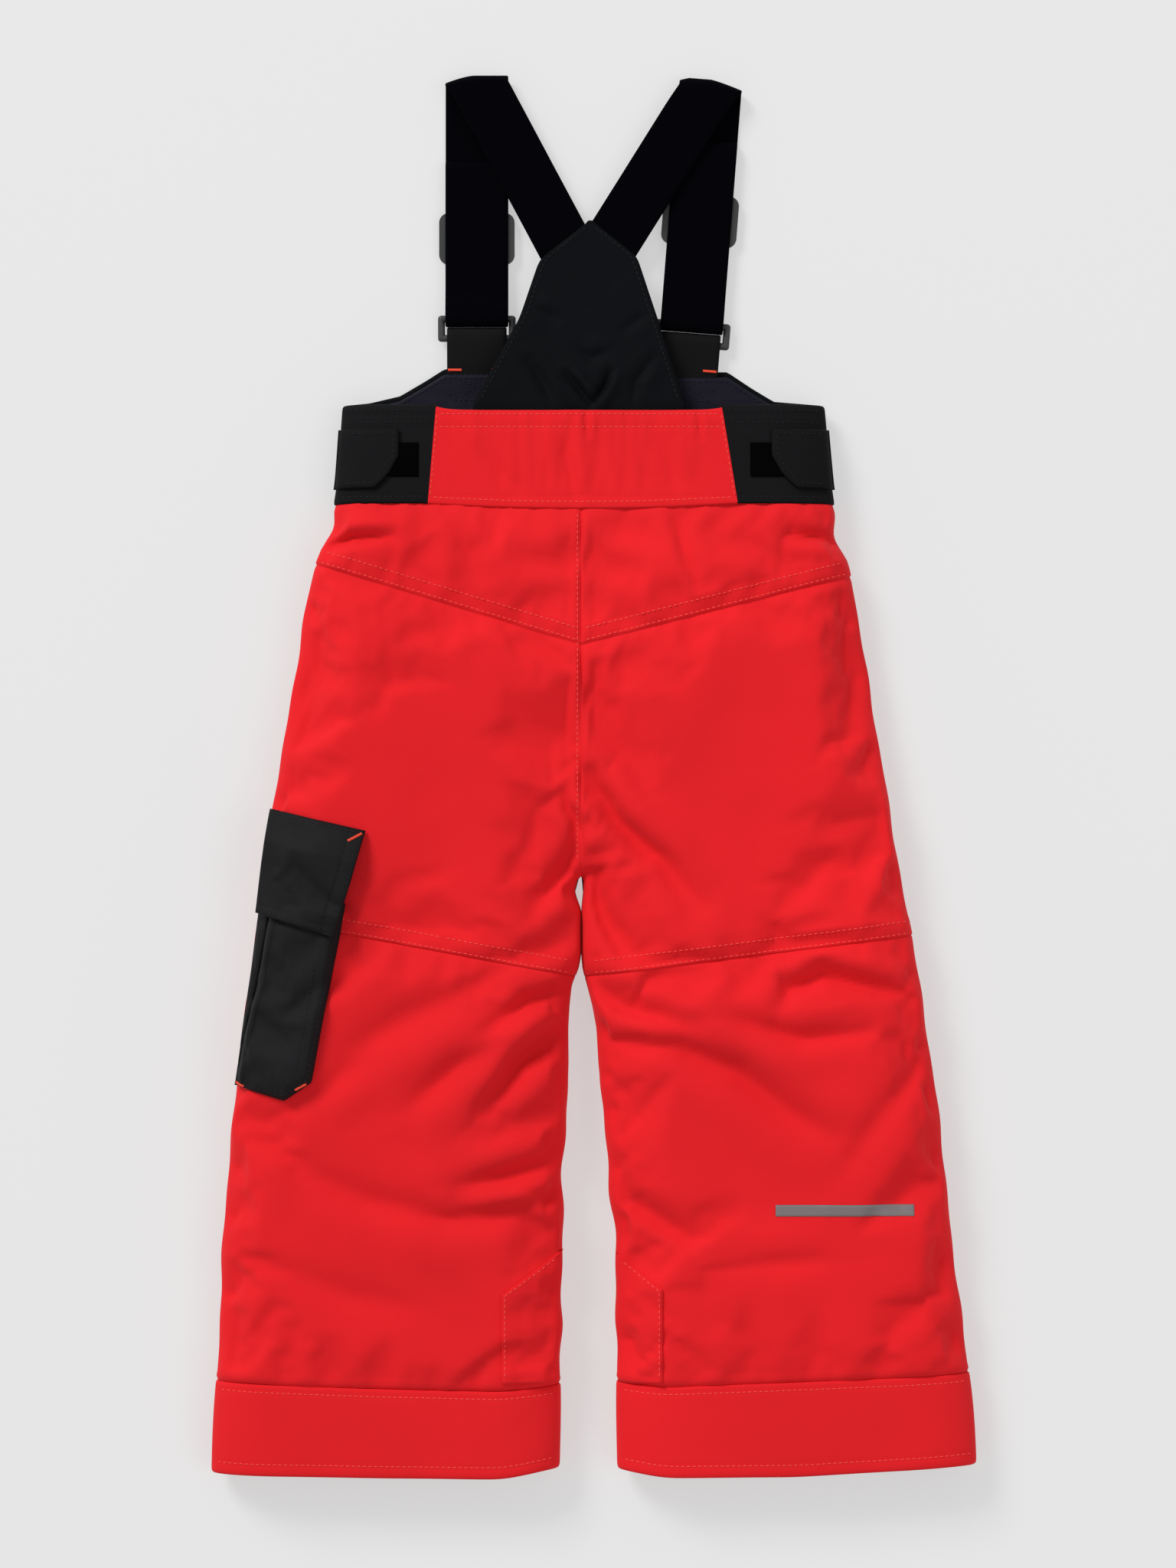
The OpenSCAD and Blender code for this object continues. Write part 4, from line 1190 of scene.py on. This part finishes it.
panel_left = profile(["back_panel"], 0.2305, 0.3435, lowest_x, 0.003, 0.8)
panel_right = profile(["back_panel"], 0.2305, 0.3435, highest_x, 0.003, 0.8)
panel_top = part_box("back_panel")[1].y
upper_rows = panel_top - 0.0006 - 0.02 * np.linspace(0, 1, 14) ** 1.3
rows_y = np.concatenate([upper_rows, np.linspace(panel_top - 0.022, 0.214, 70)])
share = np.linspace(0, 1, 60)
grid = np.zeros((len(rows_y), 60, 3))
for number, y in enumerate(rows_y):
    left_x, right_x = float(panel_left(y)), float(panel_right(y))
    if y < 0.231:
        left_x -= (0.231 - y) * 0.18
        right_x += (0.231 - y) * 0.18
    grid[number, :, 0] = left_x + (right_x - left_x) * share
    grid[number, :, 1] = y
    grid[number, :, 2] = 0.0128 + 0.0088 * np.clip((panel_top - y) / 0.114, 0, 1) ** 1.2
x, y = grid[..., 0], grid[..., 1]
middle = np.clip(np.minimum(share, 1 - share) / 0.12, 0, 1)[None, :]
grid[..., 2] -= 0.0022 * np.clip((0.226 - y) / 0.006, 0, 1)
grid[..., 2] += middle * (0.0012 * wobble(grid, 0.040, 31) + 0.0006 * wobble(grid, 0.014, 32))
PANEL_FOLDS = [
    ([(-0.0170, 0.2480), (-0.0100, 0.2400), (-0.0016, 0.2290)], 0.0030, 0.0036),
    ([(0.0100, 0.2500), (0.0060, 0.2400), (-0.0010, 0.2290)], 0.0030, 0.0036),
    ([(-0.0400, 0.2560), (-0.0300, 0.2400), (-0.0260, 0.2300)], 0.0016, 0.0050),
    ([(0.0380, 0.2600), (0.0260, 0.2440), (0.0240, 0.2300)], 0.0016, 0.0050),
    ([(-0.0100, 0.2640), (-0.0020, 0.2580), (0.0080, 0.2620)], 0.0014, 0.0050),
    ([(-0.0380, 0.2900), (-0.0240, 0.2820)], 0.0010, 0.0050),
    ([(0.0340, 0.2860), (0.0180, 0.2760)], 0.0010, 0.0050),
]
grid[..., 2] += fold_depth(x, y, PANEL_FOLDS) * middle
back_panel = slab("back_panel_cloth", grid, 0.0018, BLACK)

# ---------------------------------------------------------------- waist tabs, patches and print

band_tree = tree_of(band_back, band_left, band_right)
waist_tabs, loop_patches = {}, {}
# Where the waist tabs' inner ends begin and finish, x at their upper and lower corner
TAB_INNER = {"left": (-0.1215, -0.1320), "right": (0.1105, 0.1215)}
TAB_SHARES = np.linspace(0, 1, 40)
for side in ("left", "right"):
    low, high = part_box(side + "_waist_tab")
    sign = SIGN[side]
    rows = np.linspace(high.y, low.y, 24)
    inner_top, inner_low = TAB_INNER[side]
    grid = np.zeros((24, 40, 3))
    for number, y in enumerate(rows):
        down = (high.y - y) / (high.y - low.y)
        bevel = 0.004 * max(0, (down - 0.72) / 0.28) ** 1.5
        inner_x = inner_top + sign * bevel + (inner_low - inner_top) * max(0, (down - 0.45) / 0.55)
        edge = float(left_edge(y) if side == "left" else right_edge(y)) + sign * 0.0010
        x = edge + (inner_x - edge) * TAB_SHARES**1.6
        z = height(np.clip(x, float(left_edge(y)), float(right_edge(y))), np.full(40, y), False)
        grid[number, :, 0] = x
        grid[number, :, 1] = y
        grid[number, :, 2] = z + 0.0026
    grid[..., 2] += 0.0005 * wobble(grid, 0.015, 41)
    waist_tabs[side] = slab(side + "_waist_strap", grid, 0.0020, SIDE_BLACK)
    outer_x = -0.1400 if side == "left" else 0.1290
    patch_x = -0.1090 if side == "left" else 0.0970
    corners = ((outer_x, 0.2045), (outer_x, 0.1845)), ((patch_x, 0.2045), (patch_x, 0.1845))
    patch = laid_on(band_tree, ruled(corners[0], corners[1], 24, 30), 0.0006)
    patch[..., 2] += 0.0002 * wobble(patch, 0.0015, 42)
    loop_patches[side] = slab(side + "_waist_loop_patch", patch, 0.0012, LOOPS)

# The two ends of each scuff guard's slanted upper edge
GUARD_TOP = {
    "left": [(-0.0197, -0.2936), (-0.0566, -0.3197)],
    "right": [(0.0139, -0.2957), (0.0418, -0.3167)],
}
guards = {}
for side in ("left", "right"):
    sign = SIGN[side]
    inner = left_inner if side == "left" else right_inner
    upper = GUARD_TOP[side]
    slanted = np.linspace(upper[0][1], upper[1][1], 26)
    rows = np.concatenate([slanted, np.linspace(upper[1][1], HEM_SEAM - 0.0005, 34)[1:]])
    grid = np.zeros((len(rows), 26, 3))
    for number, y in enumerate(rows):
        t = np.clip((y - upper[0][1]) / (upper[1][1] - upper[0][1]), 0, 1)
        outer_x = upper[0][0] + (upper[1][0] - upper[0][0]) * t
        inner_x = float(inner(y)) + sign * 0.0012
        grid[number, :, 0] = outer_x + (inner_x - outer_x) * np.linspace(0, 1, 26) ** 0.8
        grid[number, :, 1] = y
    grid = laid_on(tree_of(legs[side]), grid[..., :2], 0.0008)
    guards[side] = slab(side + "_scuff_patch", grid, 0.0020, RED, 0.15)

low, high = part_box("reflective_bar")
strip = ruled([(low.x, high.y), (low.x, low.y)], [(high.x, high.y), (high.x, low.y)], 5, 60)
strip = laid_on(tree_of(legs["right"]), strip, 0.00025)
print_bar = slab("reflective_strip", strip, 0.0004, PRINT)

# ---------------------------------------------------------------- fly, pockets and the inner parts


def flat_piece(name, node, material, thickness, corners=None, seed=50):
    """A flat cloth piece in the place of a CAD plate."""
    low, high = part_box(node)
    z = (low.z + high.z) / 2
    corners = corners or [(low.x, high.y), (low.x, low.y), (high.x, high.y), (high.x, low.y)]
    flat = ruled(corners[0:2], corners[2:4], 30, 16)
    grid = np.concatenate([flat, np.full(flat.shape[:2] + (1,), z)], -1)
    grid[..., 2] += 0.0003 * wobble(grid, 0.02, seed)
    made = slab(name, grid, thickness, material)
    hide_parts(node)
    return made


inner_parts = []
inner_parts.append(flat_piece("fly_guard_cloth", "fly_guard", NAVY, 0.0012))
inner_parts.append(flat_piece("fly_tapes", "fly_zip_tapes", BLACK, 0.0006))
closure = flat_piece("bib_closure_strip", "bib_closure_tab", BLACK, 0.0014)
bag_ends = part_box("hand_pocket_bags")
elastic_low, elastic_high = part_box("waist_elastic")
spread = np.linspace(elastic_low.x, elastic_high.x, 200)
rows_y = np.linspace(RED_END - 0.0050, elastic_low.y, 8)
grid = np.stack(np.meshgrid(spread, rows_y), -1)
grid = np.concatenate([grid, np.full(grid.shape[:2] + (1,), 0.0)], -1)
grid[..., 2] = elastic_low.z + 0.0007 + 0.0004 * np.sin(grid[..., 0] * 900)
elastic = slab("waist_elastic_band", grid, 0.0012, WHITE)
bags = {}
for side in ("left", "right"):
    sign = SIGN[side]
    near_x = MID_X + sign * 0.070
    far_x = bag_ends[0].x if side == "left" else bag_ends[1].x
    near_side = [(near_x, bag_ends[1].y - 0.012), (near_x, bag_ends[0].y)]
    far_side = [(far_x, bag_ends[1].y), (far_x, bag_ends[0].y)]
    flat = ruled(near_side, far_side, 30, 20)
    grid = np.concatenate([flat, np.full(flat.shape[:2] + (1,), (bag_ends[0].z + bag_ends[1].z) / 2)], -1)
    grid[..., 2] += 0.0004 * wobble(grid, 0.02, 60)
    bags[side] = slab(side + "_pocket_bag", grid, 0.0012, NAVY)

# ---------------------------------------------------------------- stitches


# Radius of the sewing thread, of the finer thread and of the bartacks
THREAD_R = 0.00032
FINE_R = 0.00030
BARTACK_R = 0.00042


def stitch_mesh(name, places, material, radius):
    """Short rounded threads; each place is (middle, direction, up, length)."""
    profile_at = np.array([-0.5, -0.38, 0.0, 0.38, 0.5])
    profile_r = np.array([0.0, 0.75, 1.0, 0.75, 0.0])
    turn = np.linspace(0, 2 * np.pi, 6, endpoint=False)
    points, faces = [], []
    for middle, way, up, length in places:
        way = way / max(np.linalg.norm(way), 1e-9)
        cross = np.cross(way, up)
        cross /= max(np.linalg.norm(cross), 1e-9)
        lift = np.cross(cross, way)
        start = len(points)
        points.append(middle + way * length * profile_at[0] - lift * radius * 0.6)
        for k in (1, 2, 3):
            for t in turn:
                ring = cross * math.cos(t) + lift * math.sin(t)
                points.append(middle + way * length * profile_at[k] + ring * radius * profile_r[k])
        points.append(middle + way * length * profile_at[4] - lift * radius * 0.6)
        for i in range(6):
            j = (i + 1) % 6
            faces.append((start, start + 1 + j, start + 1 + i))
            for k in (0, 1):
                a, b = start + 1 + 6 * k + i, start + 1 + 6 * k + j
                faces.append((a, b, b + 6, a + 6))
            faces.append((start + 19, start + 13 + i, start + 13 + j))
    mesh = bpy.data.meshes.new(name)
    mesh.from_pydata([tuple(p) for p in points], [], faces)
    mesh.shade_smooth()
    made = bpy.data.objects.new(name, mesh)
    bpy.context.scene.collection.objects.link(made)
    return dress(made, material)


def on_surface(tree, x, y):
    hit = tree.ray_cast(Vector((x, y, ABOVE)), DOWN)
    if hit[0] is None:
        return None, None
    return np.array(hit[0]), np.array(hit[1])


def row_places(tree, line, pitch=0.0034, length=0.0025, lift=0.00012):
    """Stitches along a line given by its corners, on whatever lies below."""
    line = np.array(line, float)
    total = np.linalg.norm(line[1:] - line[:-1], axis=1).sum()
    flat = along(line, max(3, round(total / pitch)))
    spots = [on_surface(tree, x, y) for x, y in flat]
    places = []
    for i in range(1, len(spots) - 1):
        before, here, after = spots[i - 1][0], spots[i], spots[i + 1][0]
        if before is None or here[0] is None or after is None or here[1][2] < 0.2:
            continue
        places.append((here[0] + here[1] * lift, after - before, here[1], length))
    return places


def bartack_places(tree, start, stop, wide=0.0019, pitch=0.00055, lift=0.0004):
    """A dense bar of thread between two points."""
    start, stop = np.array(start, float), np.array(stop, float)
    way = (stop - start) / np.linalg.norm(stop - start)
    places = []
    for t in np.arange(0, np.linalg.norm(stop - start), pitch):
        spot = start + way * t
        here, up = on_surface(tree, spot[0], spot[1])
        if here is not None:
            tilt = 0.25 if len(places) % 2 else -0.25
            direction = np.array((-way[1] + tilt * way[0], way[0] + tilt * way[1], 0))
            places.append((here + up * lift, direction, up, wide))
    return places


def sewn_along(line, low_x, high_x, by, count=40):
    x = np.linspace(low_x, high_x, count)
    return list(zip(x, line(x) + by))


hips_tree = tree_of(hips_shell)
rows = []
for by in (0.0016, 0.0090):
    rows += row_places(hips_tree, sewn_along(left_yoke_seam, left_edge(0.13) + 0.002, MID_X - 0.001, by))
    rows += row_places(hips_tree, sewn_along(right_yoke_seam, MID_X + 0.001, right_edge(0.12) - 0.002, by))
    rows += row_places(hips_tree, sewn_along(left_thigh_seam, left_edge(-0.088) + 0.002, MID_X - 0.006, by))
    rows += row_places(hips_tree, sewn_along(right_thigh_seam, MID_X + 0.006, right_edge(-0.099) - 0.002, by))
rows += row_places(hips_tree, [(MID_X - 0.0022, WAIST_SEAM - 0.005), (MID_X - 0.0022, CROTCH + 0.010)])
hip_stitches = stitch_mesh("hips_stitches", rows, RED_THREAD, THREAD_R)

hem_stitches = {}
for side, edges in (("left", left_leg), ("right", right_leg)):
    hem_tree = tree_of(hems[side])
    rows = []
    for level, by in ((hem_high, -0.0045), (hem_low, 0.0075)):
        y = float(level(np.array(edges[0](-0.4) * 0.5 + edges[1](-0.4) * 0.5)))
        rows += row_places(hem_tree, sewn_along(level, edges[0](y) + 0.002, edges[1](y) - 0.002, by, 80))
    hem_stitches[side] = stitch_mesh(side + "_hem_stitches", rows, RED_THREAD, THREAD_R)

guard_stitches = {}
for side in ("left", "right"):
    sign = SIGN[side]
    corner = (-0.0549, -0.3206) if side == "left" else (0.0401, -0.3177)
    upper = (-0.0225, -0.2976) if side == "left" else (0.0165, -0.2998)
    line = [upper, corner, (corner[0], HEM_SEAM - 0.002)]
    rows = row_places(tree_of(guards[side]), line)
    guard_stitches[side] = stitch_mesh(side + "_scuff_stitches", rows, RED_THREAD, THREAD_R)

back_tree, left_tree, right_tree = tree_of(band_back), tree_of(band_left), tree_of(band_right)
rows = []
for y in (RED_END - 0.0025, RED_END - 0.0105, WAIST_SEAM + 0.0035):
    line_x = np.linspace(float(band_left_seam(y)) + 0.001, float(band_right_seam(y)) - 0.001, 30)
    sag = waist_low(line_x) - WAIST_SEAM if y < WAIST_SEAM + 0.01 else 0 * line_x
    rows += row_places(back_tree, list(zip(line_x, y + sag)))
band_stitches = stitch_mesh("waistband_stitches", rows, RED_THREAD, THREAD_R)
levels = np.linspace(WAIST_SEAM + 0.002, BAND_END - 0.004, 12)
rows = row_places(back_tree, [(float(band_left_seam(y)) + 0.0012, y) for y in levels])
rows += row_places(back_tree, [(float(band_right_seam(y)) - 0.0012, y) for y in levels])
seam_stitches = stitch_mesh("waistband_seam_stitches", rows, RED_THREAD, FINE_R)
rows = []
for y in (BAND_END - 0.0035, BAND_END - 0.0110, WAIST_SEAM + 0.0035):
    rows += row_places(left_tree, [(left_edge(y) + 0.002, y), (band_left_seam(y) - 0.001, y)])
    rows += row_places(right_tree, [(band_right_seam(y) + 0.001, y), (right_edge(y) - 0.002, y)])
side_stitches = stitch_mesh("waistband_side_stitches", rows, BLACK_THREAD, THREAD_R)

pouch_tree, flap_tree = tree_of(cargo_pouch), tree_of(cargo_flap)
line = [(-0.1595, -0.100), (-0.1712, -0.160), (-0.1762, -0.1872), (-0.1906, -0.1970), (-0.2185, -0.1890)]
rows = row_places(pouch_tree, line)
rows += row_places(pouch_tree, [(-0.1705, -0.112), (-0.1800, -0.168), (-0.1835, -0.1825)])
rows += row_places(pouch_tree, [(-0.2170, -0.1812), (-0.1870, -0.1890)])
pouch_stitches = stitch_mesh("cargo_pouch_stitches", rows, BLACK_THREAD, THREAD_R)
rows = row_places(flap_tree, [(-0.1975, -0.0240), (-0.1440, -0.0362)])
line = [(-0.1440, -0.0362), (-0.1522, -0.0665), (-0.1610, -0.0965), (-0.2055, -0.0828)]
rows += row_places(flap_tree, line)
rows += row_places(flap_tree, [(-0.1520, -0.0400), (-0.1600, -0.0680), (-0.1680, -0.0900)])
flap_stitches = stitch_mesh("cargo_flap_stitches", rows, BLACK_THREAD, THREAD_R)
rows = bartack_places(flap_tree, (-0.1505, -0.0405), (-0.1425, -0.0362))
flap_bartack = stitch_mesh("cargo_flap_bartack", rows, BARTACK, BARTACK_R)
rows = bartack_places(pouch_tree, (-0.2205, -0.1895), (-0.2155, -0.1915))
rows += bartack_places(pouch_tree, (-0.1832, -0.1928), (-0.1764, -0.1892))
pouch_bartacks = stitch_mesh("cargo_pouch_bartacks", rows, BARTACK, BARTACK_R)

panel_tree, lining_tree = tree_of(back_panel), tree_of(bib_lining)
levels = np.linspace(panel_top - 0.003, 0.231, 40)
rows = row_places(panel_tree, [(float(panel_left(y)) + 0.0026, y) for y in levels])
rows += row_places(panel_tree, [(float(panel_right(y)) - 0.0026, y) for y in levels])
panel_stitches = stitch_mesh("back_panel_stitches", rows, BLACK_THREAD, FINE_R)

tab_bartacks = {}
lining_rows = []
for side, spot in SPOTS.items():
    lean = math.radians(spot["lean"])

    def spot_at(across_by, up_by):
        x = spot["origin"][0] + across_by * math.cos(lean) + up_by * math.sin(lean)
        return (x, spot["origin"][1] - across_by * math.sin(lean) + up_by * math.cos(lean))

    foot = 0.252 - spot["origin"][1]
    tab_tree = tree_of(tabs[side], bib_lining)
    rows = bartack_places(tab_tree, spot_at(-0.0175, foot), spot_at(-0.0095, foot))
    rows += bartack_places(tab_tree, spot_at(0.0095, foot), spot_at(0.0175, foot))
    tab_bartacks[side] = stitch_mesh(side + "_tab_bartacks", rows, BARTACK, BARTACK_R)
    box_low = foot - 0.019
    box_high, box_half = foot - 0.003, 0.0165
    corners = [spot_at(-box_half, box_high), spot_at(box_half, box_high)]
    corners += [spot_at(box_half, box_low), spot_at(-box_half, box_low)]
    for first, second in ((0, 1), (1, 2), (2, 3), (3, 0), (0, 2), (1, 3)):
        lining_rows += row_places(lining_tree, [corners[first], corners[second]], 0.0030, 0.0022)
for side in ("left", "right"):
    xs, tops = bib_ends[side]
    inset = [(x, top - 0.0052) for x, top in zip(xs, tops) if top > 0.2345]
    lining_rows += row_places(lining_tree, inset, 0.0032, 0.0023)
lining_stitches = stitch_mesh("bib_lining_stitches", lining_rows, BLACK_THREAD, THREAD_R)

tab_stitches = {}
for side in ("left", "right"):
    low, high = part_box(side + "_waist_tab")
    sign = SIGN[side]
    inner_top, inner_low = TAB_INNER[side]
    outer_x = float(left_edge(0.2)) + 0.002 if side == "left" else float(right_edge(0.2)) - 0.002
    line = [(outer_x, high.y - 0.0022), (inner_top + sign * 0.0024, high.y - 0.0022)]
    line += [(inner_top + sign * 0.0026, low.y + 0.0190), (inner_low + sign * 0.0040, low.y + 0.0025)]
    line += [(outer_x, low.y + 0.0022)]
    rows = row_places(tree_of(waist_tabs[side]), line)
    name = side + "_waist_strap_stitches"
    tab_stitches[side] = stitch_mesh(name, rows, BLACK_THREAD, FINE_R)

# ---------------------------------------------------------------- camera, light and floor

camera_data = bpy.data.cameras.new("camera")
camera = bpy.data.objects.new("camera", camera_data)
bpy.context.scene.collection.objects.link(camera)
camera_data.lens = 100
camera_data.sensor_width = 36
camera_data.clip_end = 20
camera.location = (-0.0038, -0.0057, 2.717)
bpy.context.scene.camera = camera

floor_mesh = bpy.data.meshes.new("floor")
floor_mesh.from_pydata([(-6, -6, 0), (6, -6, 0), (6, 6, 0), (-6, 6, 0)], [], [(0, 1, 2, 3)])
floor = bpy.data.objects.new("floor", floor_mesh)
floor.location.z = -0.0006
bpy.context.scene.collection.objects.link(floor)
floor_paint = bpy.data.materials.new("pale_floor")
floor_paint.use_nodes = True
floor_shader = floor_paint.node_tree.nodes["Principled BSDF"]
floor_shader.inputs["Base Color"].default_value = (0.30, 0.30, 0.30, 1)
floor_shader.inputs["Roughness"].default_value = 0.9
floor_shader.inputs["Specular IOR Level"].default_value = 0.1
floor_shader.inputs["Emission Color"].default_value = (1, 1, 1, 1)
floor_shader.inputs["Emission Strength"].default_value = 0.50
floor_mesh.materials.append(floor_paint)


def area_light(name, place, aim, size, power):
    data = bpy.data.lights.new(name, "AREA")
    data.size = size
    data.energy = power
    made = bpy.data.objects.new(name, data)
    made.location = place
    made.rotation_euler = (Vector(aim) - Vector(place)).to_track_quat("-Z", "Y").to_euler()
    bpy.context.scene.collection.objects.link(made)


area_light("key", (-5.4, 7.0, 6.0), (0, 0, 0), 3.6, 800)
area_light("fill", (3.2, -1.0, 4.6), (0, 0, 0), 3.5, 50)
world = bpy.data.worlds.new("studio")
world.use_nodes = True
world.node_tree.nodes["Background"].inputs["Color"].default_value = (1, 1, 1, 1)
world.node_tree.nodes["Background"].inputs["Strength"].default_value = 0.5
bpy.context.scene.world = world
bpy.context.scene.view_settings.view_transform = "Standard"

# ---------------------------------------------------------------- what each piece stands for and rides on

fly_centre = (MID_X, 0.5 * (FLY_LOW + WAIST_SEAM) + 0.006)
cut_slot(hips_shell, fly_centre, FLY_HALF, 0.5 * (WAIST_SEAM - FLY_LOW) + 0.006, 0)
for sign in (-1, 1):
    cut_slot(hips_shell, (MID_X + sign * 0.096, 0.112), 0.0065, 0.047, sign * math.radians(22))

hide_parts("left_yoke", "right_yoke", "left_seat", "right_seat")
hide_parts("left_front_hip", "right_front_hip", "left_thigh_back", "right_thigh_back")
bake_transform(hips_shell)
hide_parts("hip_lining")
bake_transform(hips_lining)
for side in ("left", "right"):
    shin = side + "_shin"
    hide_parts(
        side + "_knee_back", side + "_thigh_front", side + "_shin_back", side + "_shin_front"
    )
    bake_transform(legs[side])
    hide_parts(side + "_shin_lining")
    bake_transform(linings[side])
    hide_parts(side + "_hem_band")
    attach(hems[side], shin)
    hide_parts(side + "_snow_gaiter")
    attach(gaiters[side], shin)
    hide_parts(side + "_scuff_guard")
    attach(guards[side], shin)
    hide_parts(side + "_bib")
    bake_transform(bibs[side])
    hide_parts(side + "_strap")
    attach(straps[side], "bib")
    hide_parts(side + "_strap_tab")
    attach(tabs[side], "bib")
    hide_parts(side + "_waist_tab")
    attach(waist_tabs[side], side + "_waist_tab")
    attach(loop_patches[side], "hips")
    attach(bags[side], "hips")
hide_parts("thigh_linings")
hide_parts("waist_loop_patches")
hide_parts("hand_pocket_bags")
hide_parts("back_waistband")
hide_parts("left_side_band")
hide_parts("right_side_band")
for made in (band_back, band_left, band_right, elastic, *inner_parts):
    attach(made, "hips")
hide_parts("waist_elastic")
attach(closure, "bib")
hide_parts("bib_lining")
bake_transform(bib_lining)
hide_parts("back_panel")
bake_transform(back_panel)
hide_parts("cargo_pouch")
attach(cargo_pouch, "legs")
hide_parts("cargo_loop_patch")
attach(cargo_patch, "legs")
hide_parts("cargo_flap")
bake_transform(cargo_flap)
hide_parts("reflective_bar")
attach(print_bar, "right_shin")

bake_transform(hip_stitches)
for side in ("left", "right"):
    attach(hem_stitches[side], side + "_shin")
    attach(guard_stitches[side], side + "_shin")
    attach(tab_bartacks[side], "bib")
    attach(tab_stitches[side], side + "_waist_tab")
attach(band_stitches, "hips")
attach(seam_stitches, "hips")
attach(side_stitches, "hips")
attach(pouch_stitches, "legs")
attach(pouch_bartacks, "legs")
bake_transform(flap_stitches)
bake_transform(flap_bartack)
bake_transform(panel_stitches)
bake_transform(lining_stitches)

KEPT = {
    "left_ring": PLASTIC, "right_ring": PLASTIC, "left_slider": PLASTIC, "right_slider": PLASTIC,
    "fly_zip_teeth": PLASTIC, "hand_pocket_zips": PLASTIC, "bib_snap": METAL, "fly_zip_slider": METAL,
    "fly_zip_pull": METAL, "left_pocket_puller": METAL, "right_pocket_puller": METAL,
}
for name, material in KEPT.items():
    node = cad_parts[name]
    node.data.materials.clear()
    node.data.materials.append(material)
    if "ring" in name or "slider" in name:
        bevel = node.modifiers.new("rounded", "BEVEL")
        bevel.width = 0.0006
        bevel.segments = 3
        bevel.limit_method = "ANGLE"
